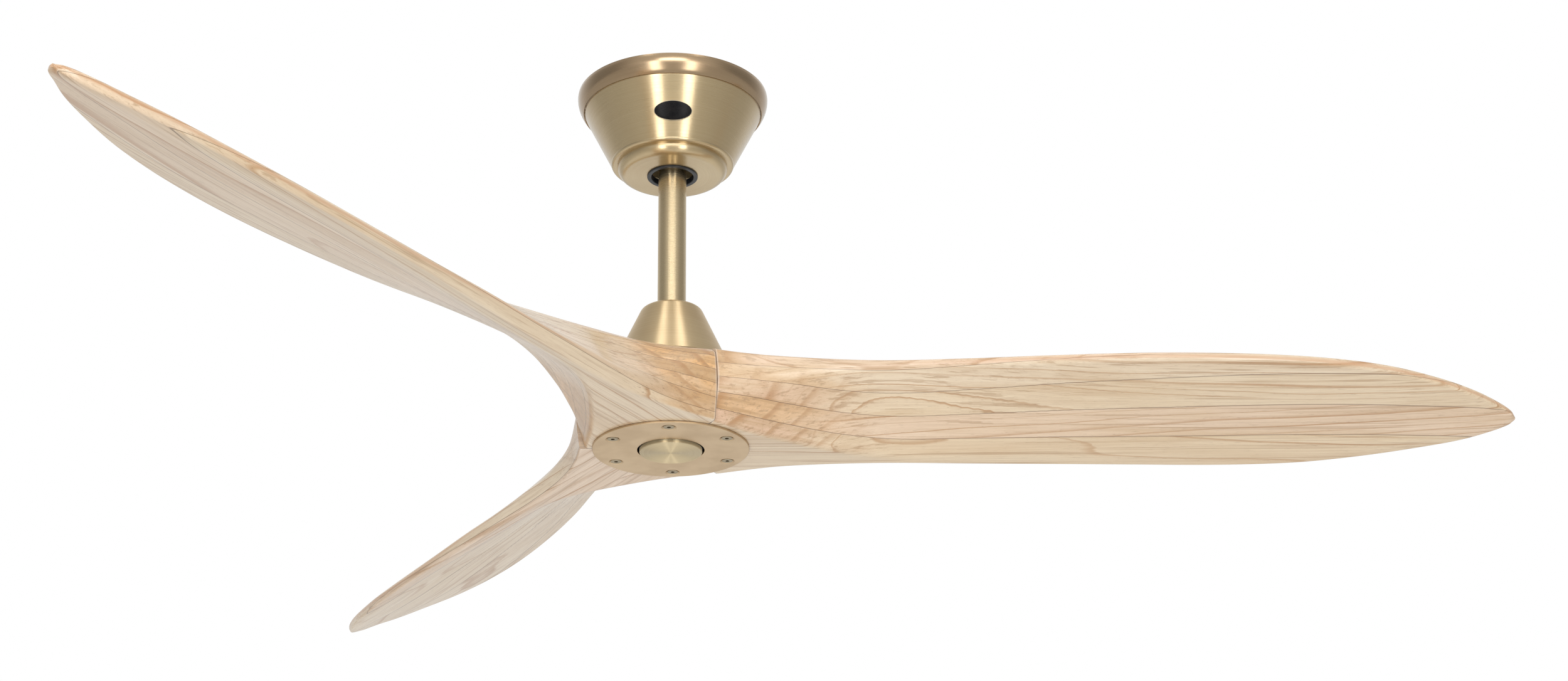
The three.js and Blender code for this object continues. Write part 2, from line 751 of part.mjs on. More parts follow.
function blade() {
  const sector = overlap(bladeBlank(), sectorWedge());
  const bore = bar(hubBore, ...hubCut, 'z', fine);
  const recess = bar(flangeRadius + 0.8, flangeBottom - gap, hubCut[1], 'z', fine);
  const headRelief = bar(4.2, hubCut[0], 4.5, 'z', 12);
  const screwHole = join(bar(bladeScrewRadius + gap, ...hubCut, 'z', 12), headRelief);
  return cut(sector, bore, recess, ...atAngles(screwHole, screwCircle, [-30, 30]));
}

function clampPlate() {
  const edge = 0.5;
  const below = -0.1;
  const above = plateThickness + 0.1;
  const disc = turned([
    [plateOpening, 0],
    [plateRadius - edge, 0],
    [plateRadius, edge],
    [plateRadius, plateThickness],
    [plateOpening, plateThickness],
  ], 40);
  const countersink = turned([[0, below], [6.3, below], [4.2, above], [0, above]], 12);
  return cut(disc, ...atAngles(countersink, screwCircle, bladeScrewAngles));
}

// Countersunk screw that runs up through plate and wood into the housing's flange.
function bladeScrew() {
  const head = turned([[0, 0.2], [5.3, 0.2], [5.3, 0.5], [bladeScrewRadius, 3.3], [0, 3.3]], 12);
  const shank = bar(bladeScrewRadius, 3, flangeTop + 1, 'z', 12);
  return cut(join(head, shank), hexPrism(1.9, -1, 2, 'z'));
}

for (let i = 0; i < bladeCount; i += 1) {
  addPart(propeller, `blade_${i + 1}`, blade(), wood).rotation.z = (i * 2 * Math.PI) / bladeCount;
}
addPart(propeller, 'clamp_plate', clampPlate(), brass);
bladeScrewAngles.forEach((degrees, i) => {
  const screw = addPart(propeller, `blade_screw_${i + 1}`, bladeScrew(), steel);
  screw.position.set(...polar(screwCircle, degrees), 0);
});

export default fan;
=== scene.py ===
import math

import bmesh
import bpy
from mathutils import Matrix, Vector


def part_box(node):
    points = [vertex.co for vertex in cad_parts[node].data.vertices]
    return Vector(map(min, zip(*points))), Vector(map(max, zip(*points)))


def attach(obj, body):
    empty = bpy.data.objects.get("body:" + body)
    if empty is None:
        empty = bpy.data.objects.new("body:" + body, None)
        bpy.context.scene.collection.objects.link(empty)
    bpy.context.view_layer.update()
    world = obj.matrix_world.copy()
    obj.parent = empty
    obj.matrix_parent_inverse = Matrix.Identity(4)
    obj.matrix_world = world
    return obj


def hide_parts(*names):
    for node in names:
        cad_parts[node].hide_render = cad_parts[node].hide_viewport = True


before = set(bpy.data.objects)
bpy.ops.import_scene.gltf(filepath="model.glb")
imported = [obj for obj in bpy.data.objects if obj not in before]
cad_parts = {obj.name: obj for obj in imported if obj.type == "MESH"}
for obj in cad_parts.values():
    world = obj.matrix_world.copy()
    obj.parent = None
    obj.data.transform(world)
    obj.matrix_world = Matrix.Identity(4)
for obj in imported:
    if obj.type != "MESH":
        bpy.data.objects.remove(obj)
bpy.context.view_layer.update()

# Looks for a ceiling fan with a three-blade wooden propeller. Outlines and the tables for the
# blades are in millimetres, in the frame's axes. The canopy, ring, collar and rod have their
# heights from the ceiling. The cover, plate, cap and screws have them from the deck, which is the
# clamp plate's underside, and the blades from the wood's underside. The materials' patterns are in
# metres, and so are the places and sizes of the floor, the lights and the camera.

MM = 0.001
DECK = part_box("clamp_plate")[0][2] / MM
BLADE_TURN = -1.6
BLADE_COUNT = 3

# Segments round a turned piece, and the angle in degrees from which an edge is shown sharp.
FINE = 192
MEDIUM = 96
SMALL = 48
SHARP_EDGE = 32

# Closer points are one point, and a smaller radius is on the axis.
SAME_POINT = 1e-5
ON_AXIS = 1e-6

# The most of a side that the arc or the curve at one of its corners takes up, and how many degrees
# of an arc lie between its points.
ARC_SHARE = 0.48
ARC_STEP = 10
CURVE_SHARE = 0.45


# ---- outlines ------------------------------------------------------------------------------------

def polar(radius, degrees):
    angle = math.radians(degrees)
    return radius * math.cos(angle), radius * math.sin(angle)


def rounded(outline):
    """A closed outline of [x, y] or [x, y, radius] corners, each radius made into an arc."""
    points = []
    count = len(outline)
    for i, corner in enumerate(outline):
        here = Vector(corner[:2])
        radius = corner[2] if len(corner) > 2 else 0
        if radius == 0:
            points.append(here)
            continue
        before = Vector(outline[i - 1][:2]) - here
        after = Vector(outline[(i + 1) % count][:2]) - here
        opening = before.angle(after)
        longest = ARC_SHARE * min(before.length, after.length)
        reach = min(radius / math.tan(opening / 2), longest)
        radius = reach * math.tan(opening / 2)
        start = here + before.normalized() * reach
        end = here + after.normalized() * reach
        centre = here + (before.normalized() + after.normalized()).normalized() * (
            radius / math.sin(opening / 2))
        steps = max(2, round(math.degrees(math.pi - opening) / ARC_STEP))
        turn = (start - centre).angle_signed(end - centre)
        for k in range(steps + 1):
            arm = start - centre
            arm.rotate(Matrix.Rotation(-turn * k / steps, 2))
            points.append(centre + arm)
    return [(p.x, p.y) for p in points]


def arc(centre, radius, start, end, steps):
    """Points on a circle from one angle to another, in degrees."""
    return [
        (centre[0] + radius * math.cos(a), centre[1] + radius * math.sin(a))
        for a in (math.radians(start + (end - start) * k / steps) for k in range(steps + 1))
    ]


# ---- meshes --------------------------------------------------------------------------------------

def finish_mesh(bm, name):
    """Cleans up a mesh drawn in millimetres and makes it one in metres."""
    bmesh.ops.remove_doubles(bm, verts=bm.verts, dist=SAME_POINT)
    bmesh.ops.recalc_face_normals(bm, faces=bm.faces)
    bmesh.ops.scale(bm, vec=(MM, MM, MM), verts=bm.verts)
    mesh = bpy.data.meshes.new(name)
    bm.to_mesh(mesh)
    bm.free()
    return mesh


def turned(name, outline, segments=FINE, lift=0.0):
    """A closed [radius, height] outline turned about the Z axis."""
    bm = bmesh.new()
    rings = []
    for k in range(segments):
        c, s = polar(1, 360 * k / segments)
        rings.append([bm.verts.new((r * c, r * s, z + lift)) for r, z in outline])
    count = len(outline)
    for k in range(segments):
        here, there = rings[k], rings[(k + 1) % segments]
        for i in range(count):
            j = (i + 1) % count
            starts_on_axis = outline[i][0] < ON_AXIS
            ends_on_axis = outline[j][0] < ON_AXIS
            if starts_on_axis and ends_on_axis:
                continue
            face = [here[i], there[i], there[j], here[j]]
            if starts_on_axis:
                face = [here[i], there[j], here[j]]
            if ends_on_axis:
                face = [here[i], there[i], here[j]]
            bm.faces.new(face)
    return finish_mesh(bm, name)


def prism(name, outline, low, high):
    """A closed [x, y] outline extruded between two heights."""
    bm = bmesh.new()
    bottom = [bm.verts.new((x, y, low)) for x, y in outline]
    top = [bm.verts.new((x, y, high)) for x, y in outline]
    bm.faces.new(bottom)
    bm.faces.new(top)
    for i in range(len(outline)):
        j = (i + 1) % len(outline)
        bm.faces.new([bottom[i], bottom[j], top[j], top[i]])
    return finish_mesh(bm, name)


def disc_prism(name, radius, low, high, segments=64):
    return prism(name, [polar(radius, 360 * k / segments) for k in range(segments)], low, high)


def combine(mesh, tools, operation):
    """Applies exact booleans of the tool meshes to a mesh, one after another."""
    subject = bpy.data.objects.new("subject", mesh)
    bpy.context.scene.collection.objects.link(subject)
    helpers = []
    for tool in tools:
        helper = bpy.data.objects.new("helper", tool)
        bpy.context.scene.collection.objects.link(helper)
        modifier = subject.modifiers.new("cut", "BOOLEAN")
        modifier.operation = operation
        modifier.solver = "EXACT"
        modifier.object = helper
        helpers.append(helper)
    bpy.context.view_layer.update()
    evaluated = subject.evaluated_get(bpy.context.evaluated_depsgraph_get())
    result = bpy.data.meshes.new_from_object(evaluated)
    for item in [subject] + helpers:
        bpy.data.objects.remove(item)
    return result


def moved(mesh, matrix):
    copy = mesh.copy()
    copy.transform(matrix)
    return copy


def at(x, y, z=0.0):
    return Matrix.Translation((x * MM, y * MM, z * MM))


def add_piece(name, mesh, material, body, nodes):
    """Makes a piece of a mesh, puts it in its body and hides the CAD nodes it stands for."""
    piece = bpy.data.objects.new(name, mesh)
    bpy.context.scene.collection.objects.link(piece)
    for polygon in mesh.polygons:
        polygon.use_smooth = True
    mesh.set_sharp_from_angle(angle=math.radians(SHARP_EDGE))
    mesh.materials.clear()
    mesh.materials.append(material)
    weighted = piece.modifiers.new("weighted", "WEIGHTED_NORMAL")
    weighted.keep_sharp = True
    bpy.context.view_layer.update()
    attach(piece, body)
    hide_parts(*nodes)


# ---- material graphs -----------------------------------------------------------------------------

# Places of the colour sockets on a mix node.
MIX_FIRST, MIX_SECOND, MIX_RESULT = 6, 7, 2


class Graph:
    """A material's node tree, with short calls for the nodes used here."""

    def __init__(self, name):
        self.material = bpy.data.materials.new(name)
        self.material.use_nodes = True
        self.tree = self.material.node_tree
        self.tree.nodes.clear()
        self.output = self.tree.nodes.new("ShaderNodeOutputMaterial")
        self.shader = self.tree.nodes.new("ShaderNodeBsdfPrincipled")
        self.tree.links.new(self.shader.outputs[0], self.output.inputs["Surface"])
        self.coords = self.tree.nodes.new("ShaderNodeTexCoord")
        self.place = self.coords.outputs["Object"]
        self.normal = self.coords.outputs["Normal"]

    def put(self, socket, value):
        if isinstance(value, bpy.types.NodeSocket):
            self.tree.links.new(value, socket)
        elif isinstance(value, (tuple, list)) and len(value) == 3 and len(socket.default_value) == 4:
            socket.default_value = (*value, 1.0)
        else:
            socket.default_value = value

    def set(self, **values):
        for name, value in values.items():
            self.put(self.shader.inputs[name.replace("_", " ")], value)

    def math(self, operation, a, b=0.0):
        node = self.tree.nodes.new("ShaderNodeMath")
        node.operation = operation
        for socket, value in zip(node.inputs, (a, b)):
            self.put(socket, value)
        return node.outputs[0]

    def vector(self, operation, a, b=(0, 0, 0)):
        node = self.tree.nodes.new("ShaderNodeVectorMath")
        node.operation = operation
        self.put(node.inputs[0], a)
        self.put(node.inputs[1], b)
        return node.outputs["Value" if operation in ("LENGTH", "DOT_PRODUCT") else "Vector"]

    def split(self, vector):
        node = self.tree.nodes.new("ShaderNodeSeparateXYZ")
        self.put(node.inputs[0], vector)
        return node.outputs

    def pack(self, x, y, z):
        node = self.tree.nodes.new("ShaderNodeCombineXYZ")
        for socket, value in zip(node.inputs, (x, y, z)):
            self.put(socket, value)
        return node.outputs[0]

    def noise(self, vector, scale=1.0, detail=2.0, roughness=0.5, distortion=0.0):
        node = self.tree.nodes.new("ShaderNodeTexNoise")
        self.put(node.inputs["Vector"], vector)
        node.inputs["Scale"].default_value = scale
        node.inputs["Detail"].default_value = detail
        node.inputs["Roughness"].default_value = roughness
        node.inputs["Distortion"].default_value = distortion
        return node.outputs[0]

    def turned_back(self, vector, angle, origin=(0, 0, 0)):
        """A vector in axes turned about Z by an angle, from an origin."""
        node = self.tree.nodes.new("ShaderNodeVectorRotate")
        node.rotation_type = "Z_AXIS"
        self.put(node.inputs["Vector"], self.vector("SUBTRACT", vector, origin))
        node.inputs["Angle"].default_value = -angle
        return node.outputs[0]

    def from_axis(self):
        """The distance from the fan's axis."""
        x, y, _ = self.split(self.place)
        return self.math("SQRT", self.math("ADD", self.math("MULTIPLY", x, x),
                                           self.math("MULTIPLY", y, y)))

    def random(self, value):
        """Three random numbers that belong to a value."""
        node = self.tree.nodes.new("ShaderNodeTexWhiteNoise")
        node.noise_dimensions = "1D"
        self.put(node.inputs["W"], value)
        return self.split(node.outputs["Color"])

    def span(self, value, low, high, to_low=0.0, to_high=1.0, smooth=True):
        """Maps a range of values to another one, held at its ends."""
        node = self.tree.nodes.new("ShaderNodeMapRange")
        node.interpolation_type = "SMOOTHSTEP" if smooth else "LINEAR"
        for socket, number in zip(node.inputs[:5], (value, low, high, to_low, to_high)):
            self.put(socket, number)
        return node.outputs[0]

    def mix(self, share, first, second, blend="MIX"):
        node = self.tree.nodes.new("ShaderNodeMix")
        node.data_type = "RGBA"
        node.blend_type = blend
        self.put(node.inputs[0], share)
        self.put(node.inputs[MIX_FIRST], first)
        self.put(node.inputs[MIX_SECOND], second)
        return node.outputs[MIX_RESULT]

    def bump(self, height, distance, strength=1.0, below=None):
        node = self.tree.nodes.new("ShaderNodeBump")
        node.inputs["Strength"].default_value = strength
        node.inputs["Distance"].default_value = distance
        self.put(node.inputs["Height"], height)
        if below is not None:
            self.put(node.inputs["Normal"], below)
        return node.outputs[0]


BRASS_PALE = (0.75, 0.63, 0.41)
BRASS_DEEP = (0.67, 0.54, 0.33)
BRASS_STAIN = (0.60, 0.43, 0.25)
UNTINTED = (1.0, 1.0, 1.0)
QUARTER_TURN = 0.25
LACQUER_ROUGHNESS = 0.2


def spun_brass(name, roughness, anisotropy, coat, tint=UNTINTED, rotation=QUARTER_TURN):
    """Satin brass brushed round the Z axis: fine rings, soft stains and a stretched highlight."""
    g = Graph(name)
    x, y, z = g.split(g.place)
    along = g.math("ADD", g.from_axis(), z)
    lines = g.noise(g.pack(g.math("MULTIPLY", x, 22), g.math("MULTIPLY", y, 22),
                           g.math("MULTIPLY", along, 5200)), detail=3, roughness=0.7)
    bands = g.noise(g.pack(g.math("MULTIPLY", x, 9), g.math("MULTIPLY", y, 9),
                           g.math("MULTIPLY", along, 1500)), detail=2)
    stains = g.noise(g.place, scale=26, detail=3)
    colour = g.mix(g.span(bands, 0.2, 0.8, 0.2, 0.8), BRASS_PALE, BRASS_DEEP)
    colour = g.mix(g.span(stains, 0.45, 0.75, 0.0, 0.15), colour, BRASS_STAIN)
    colour = g.mix(1.0, colour, tint, "MULTIPLY")
    rough = g.math("ADD", g.span(lines, 0.25, 0.75, roughness - 0.05, roughness + 0.05),
                   g.span(stains, 0.3, 0.7, -0.02, 0.03))
    tangent = g.tree.nodes.new("ShaderNodeTangent")
    tangent.direction_type = "RADIAL"
    tangent.axis = "Z"
    g.set(Base_Color=colour, Metallic=1.0, Roughness=rough, Anisotropic=anisotropy,
          Anisotropic_Rotation=rotation, Tangent=tangent.outputs[0],
          Normal=g.bump(lines, 0.00002, 0.18))
    g.shader.inputs["Coat Weight"].default_value = coat
    g.shader.inputs["Coat Roughness"].default_value = LACQUER_ROUGHNESS
    return g.material


def blasted_brass(name, light, dark):
    """Flat satin brass with a fine matt grain."""
    g = Graph(name)
    grain = g.noise(g.place, scale=2600, detail=2)
    clouds = g.noise(g.place, scale=34, detail=3)
    colour = g.mix(g.span(clouds, 0.35, 0.7), light, dark)
    rough = g.math("ADD", g.span(grain, 0.3, 0.7, 0.36, 0.44), g.span(clouds, 0.3, 0.7, -0.02, 0.02))
    g.set(Base_Color=colour, Metallic=1.0, Roughness=rough, Normal=g.bump(grain, 0.00003, 0.3))
    return g.material


def plated(name, light, dark, roughness):
    """Plated metal: clouded colour, faint scratches and a fine grain."""
    g = Graph(name)
    clouds = g.noise(g.place, scale=60, detail=4)
    scratches = g.noise(g.vector("MULTIPLY", g.place, (260, 2400, 900)), detail=2)
    colour = g.mix(g.span(clouds, 0.3, 0.7), light, dark)
    rough = g.math("ADD", g.span(scratches, 0.3, 0.7, roughness - 0.07, roughness + 0.07),
                   g.span(clouds, 0.3, 0.7, -0.03, 0.03))
    g.set(Base_Color=colour, Metallic=1.0, Roughness=rough, Normal=g.bump(scratches, 0.00002, 0.3))
    return g.material


def moulded(name, colour, shade, roughness):
    """Moulded plastic with a fine spark-eroded texture."""
    g = Graph(name)
    texture = g.noise(g.place, scale=1900, detail=2)
    clouds = g.noise(g.place, scale=45, detail=2)
    tone = g.mix(g.span(clouds, 0.35, 0.65), colour, shade)
    rough = g.math("ADD", g.span(texture, 0.3, 0.7, roughness - 0.06, roughness + 0.06),
                   g.span(clouds, 0.3, 0.7, -0.02, 0.02))
    g.set(Base_Color=tone, Roughness=rough, Normal=g.bump(texture, 0.00004, 0.35))
    return g.material


def painted(name, colour, shade):
    """Black paint on a casting, with an orange-peel surface."""
    g = Graph(name)
    peel = g.noise(g.place, scale=750, detail=3)
    clouds = g.noise(g.place, scale=40, detail=3)
    tone = g.mix(g.span(clouds, 0.35, 0.65), colour, shade)
    rough = g.span(peel, 0.3, 0.7, 0.42, 0.58)
    g.set(Base_Color=tone, Metallic=0.2, Roughness=rough, Normal=g.bump(peel, 0.0001, 0.5))
    return g.material


ENAMEL_BLACK = (0.004, 0.004, 0.005)
ENAMEL_WORN = (0.010, 0.009, 0.009)
ENAMEL_GLOSS = 0.12


def enamel(name):
    """Glossy black enamel with a faint ripple and dust."""
    g = Graph(name)
    ripple = g.noise(g.place, scale=160, detail=2)
    dust = g.noise(g.place, scale=2200, detail=1)
    colour = g.mix(g.span(ripple, 0.3, 0.7), ENAMEL_BLACK, ENAMEL_WORN)
    g.set(Base_Color=colour, Roughness=g.span(dust, 0.4, 0.8, 0.26, 0.38),
          Normal=g.bump(ripple, 0.0001, 0.15))
    g.shader.inputs["Specular IOR Level"].default_value = ENAMEL_GLOSS
    return g.material


WIRE_PITCH = 0.0006
COPPER = (0.62, 0.24, 0.09)
COPPER_DARK = (0.42, 0.13, 0.04)
SHADE_BETWEEN_WIRES = (0.12, 0.03, 0.01)


def winding(name):
    """Enamelled copper wire laid side by side round a tooth, with painted shade in the grooves between
    the turns.
    """
    g = Graph(name)
    turns = g.math("ABSOLUTE", g.math("SINE", g.math("MULTIPLY", g.from_axis(), math.pi / WIRE_PITCH)))
    clouds = g.noise(g.place, scale=220, detail=3)
    colour = g.mix(g.span(clouds, 0.3, 0.7), COPPER, COPPER_DARK)
    g.set(Base_Color=g.mix(g.span(turns, 0.0, 0.6), SHADE_BETWEEN_WIRES, colour), Metallic=0.9,
          Roughness=g.span(clouds, 0.3, 0.7, 0.28, 0.42), Normal=g.bump(turns, 0.0002, 0.8))
    return g.material


SHEET_PITCH = 0.0005
SHEET_STEEL = (0.36, 0.37, 0.38)
SHEET_DARK = (0.24, 0.23, 0.23)
BETWEEN_SHEETS = (0.05, 0.05, 0.05)


def laminations(name):
    """A stack of thin steel sheets: fine lines across its height."""
    g = Graph(name)
    z = g.split(g.place)[2]
    sheets = g.math("ABSOLUTE", g.math("SINE", g.math("MULTIPLY", z, math.pi / SHEET_PITCH)))
    clouds = g.noise(g.place, scale=90, detail=3)
    colour = g.mix(g.span(clouds, 0.3, 0.7), SHEET_STEEL, SHEET_DARK)
    g.set(Base_Color=g.mix(g.span(sheets, 0.0, 0.5), BETWEEN_SHEETS, colour), Metallic=1.0,
          Roughness=g.span(clouds, 0.3, 0.7, 0.4, 0.6), Normal=g.bump(sheets, 0.0001, 0.6))
    return g.material


FLOOR_PALE = (0.80, 0.80, 0.79)
FLOOR_DIM = (0.785, 0.785, 0.775)
GAUZE_PALE = (0.80, 0.80, 0.79)
GAUZE_DIM = (0.76, 0.76, 0.75)


def studio_floor(name):
    """Pale matt floor with faint clouds."""
    g = Graph(name)
    clouds = g.noise(g.place, scale=0.8, detail=4)
    g.set(Base_Color=g.mix(g.span(clouds, 0.3, 0.7), FLOOR_PALE, FLOOR_DIM),
          Roughness=g.span(clouds, 0.3, 0.7, 0.7, 0.8))
    return g.material


def ceiling_gauze(name):
    """White gauze that lets about half of the light through."""
    g = Graph(name)
    weave = g.noise(g.place, scale=30, detail=3)
    g.set(Base_Color=g.mix(weave, GAUZE_PALE, GAUZE_DIM),
          Alpha=g.span(weave, 0.3, 0.7, 0.46, 0.54))
    return g.material


# Wood tones, from pale sapwood to the tan of cut end grain.
CREAM = (0.81, 0.68, 0.52)
STRAW = (0.76, 0.61, 0.42)
ROSE = (0.80, 0.60, 0.46)
HONEY = (0.62, 0.43, 0.23)
TAN = (0.78, 0.49, 0.25)
LATEWOOD = (0.44, 0.22, 0.085)
UMBER = (0.50, 0.30, 0.14)
# Painted shade on the blades' upright edges.
RUSSET_EDGE_SHADE = (0.60, 0.35, 0.20)
# The colour of the board joints, also used as the painted shade beside the seams.
GLUE_AND_SEAM_SHADE = (0.13, 0.07, 0.035)
STREAK = (0.56, 0.38, 0.22)
VEIN = (0.42, 0.26, 0.14)
FIBRE = (0.44, 0.28, 0.15)
PORE = (0.26, 0.14, 0.07)
# A painted highlight on the wood's rounded edge at a seam.
SEAM_EDGE_HIGHLIGHT = (0.88, 0.80, 0.70)

# Places and sizes in the wood, in metres, except for the drifts, the rise and the run, which are
# slopes. A pith lies to one side of the blade's middle line and above or below it, and drifts along
# the blade. The root's end grain fades out along the blade, and the russet painted shade on the
# upright edges fades in.
PITH_ASIDE = 0.08
PITH_ASIDE_DRIFT = 0.07
PITH_DEPTH = (0.05, 0.11)
PITH_DEPTH_DRIFT = 0.05
YEAR_WIDTH = (0.0075, 0.0125)
ROOT_FADE = (0.14, 0.30)
EDGE_SHADE_FADE = (0.16, 0.34)
ARCH_SPACING = 0.029
ARCH_RISE = 0.80
ARCH_RUN = 0.60

# The second set of random numbers of a board is drawn this far from the first.
SECOND_DRAW = 37.5

# Half of a blade's sector at the hub, in radians.
HALF_SECTOR = math.pi / 3
VARNISH_COAT = 0.65
VARNISH_ROUGHNESS = 0.15


def growth_rings(g, place, index, seed, draws, wander):
    """Shares of latewood and of its dark last line at a point.

    The rings are cylinders about a pith of each board's own, bent by noise.
    """
    a, b, c, d, e, f = draws
    x, y, z = g.split(place)
    ripple = g.noise(g.vector("MULTIPLY", place, (3, 60, 60)), detail=3, roughness=0.6)
    sway = g.noise(g.vector("MULTIPLY", place, (2.5, 26, 26)), detail=1)
    drift_y = g.math("MULTIPLY", x, g.span(c, 0, 1, -PITH_ASIDE_DRIFT, PITH_ASIDE_DRIFT, False))
    pith_y = g.math("ADD", g.span(a, 0, 1, -PITH_ASIDE, PITH_ASIDE, False), drift_y)
    side = g.math("SIGN", g.math("SUBTRACT", d, 0.5))
    depth = g.math("MULTIPLY", side, g.span(b, 0, 1, *PITH_DEPTH, False))
    drift_z = g.math("MULTIPLY", x, g.span(e, 0, 1, -PITH_DEPTH_DRIFT, PITH_DEPTH_DRIFT, False))
    pith_z = g.math("ADD", depth, drift_z)
    dy = g.math("SUBTRACT", y, pith_y)
    dz = g.math("SUBTRACT", z, pith_z)
    ring = g.math("SQRT", g.math("ADD", g.math("MULTIPLY", dy, dy), g.math("MULTIPLY", dz, dz)))
    for bend, most in ((wander, 0.010), (ripple, 0.0009), (sway, 0.0035)):
        ring = g.math("ADD", ring, g.span(bend, 0.2, 0.8, -most, most, False))
    pace = g.noise(g.pack(g.math("MULTIPLY", ring, 70), index, seed), detail=1)
    ring = g.math("ADD", ring, g.span(pace, 0.25, 0.75, -0.006, 0.006, False))
    year = g.math("DIVIDE", ring, g.span(f, 0, 1, *YEAR_WIDTH, False))
    season = g.math("FRACT", year)
    late = g.math("MULTIPLY", g.span(season, 0.45, 0.95), g.span(season, 0.95, 1.0, 1.0, 0.0))
    line = g.math("MULTIPLY", g.span(season, 0.80, 0.94), g.span(season, 0.94, 1.0, 1.0, 0.0))
    patchy = g.noise(g.pack(g.math("MULTIPLY", x, 2.2), g.math("FLOOR", year), index), detail=2)
    strength = g.span(patchy, 0.34, 0.66, 0.25, 1.0)
    return g.math("MULTIPLY", late, strength), g.math("MULTIPLY", line, strength)


def root_arches(g, place, board_shift, wander):
    """Slanting growth lines, for the cut end grain near the root."""
    x, _, z = g.split(place)
    slant = g.math("SUBTRACT", g.math("MULTIPLY", z, ARCH_RISE), g.math("MULTIPLY", x, ARCH_RUN))
    slant = g.math("ADD", slant, g.span(wander, 0.2, 0.8, -0.05, 0.05, False))
    slant = g.math("DIVIDE", slant, ARCH_SPACING)
    year = g.math("FRACT", g.math("ADD", slant, g.math("MULTIPLY", board_shift, 3)))
    return g.math("MULTIPLY", g.span(year, 0.66, 0.90), g.span(year, 0.92, 1.0, 1.0, 0.0))


def seam_distance(g, place):
    """The distance from the planes where blades meet at the hub, in millimetres."""
    x, y, _ = g.split(place)
    along = g.math("MULTIPLY", x, math.sin(HALF_SECTOR) / MM)
    across = g.math("MULTIPLY", g.math("ABSOLUTE", y), math.cos(HALF_SECTOR) / MM)
    return g.math("SUBTRACT", along, across)


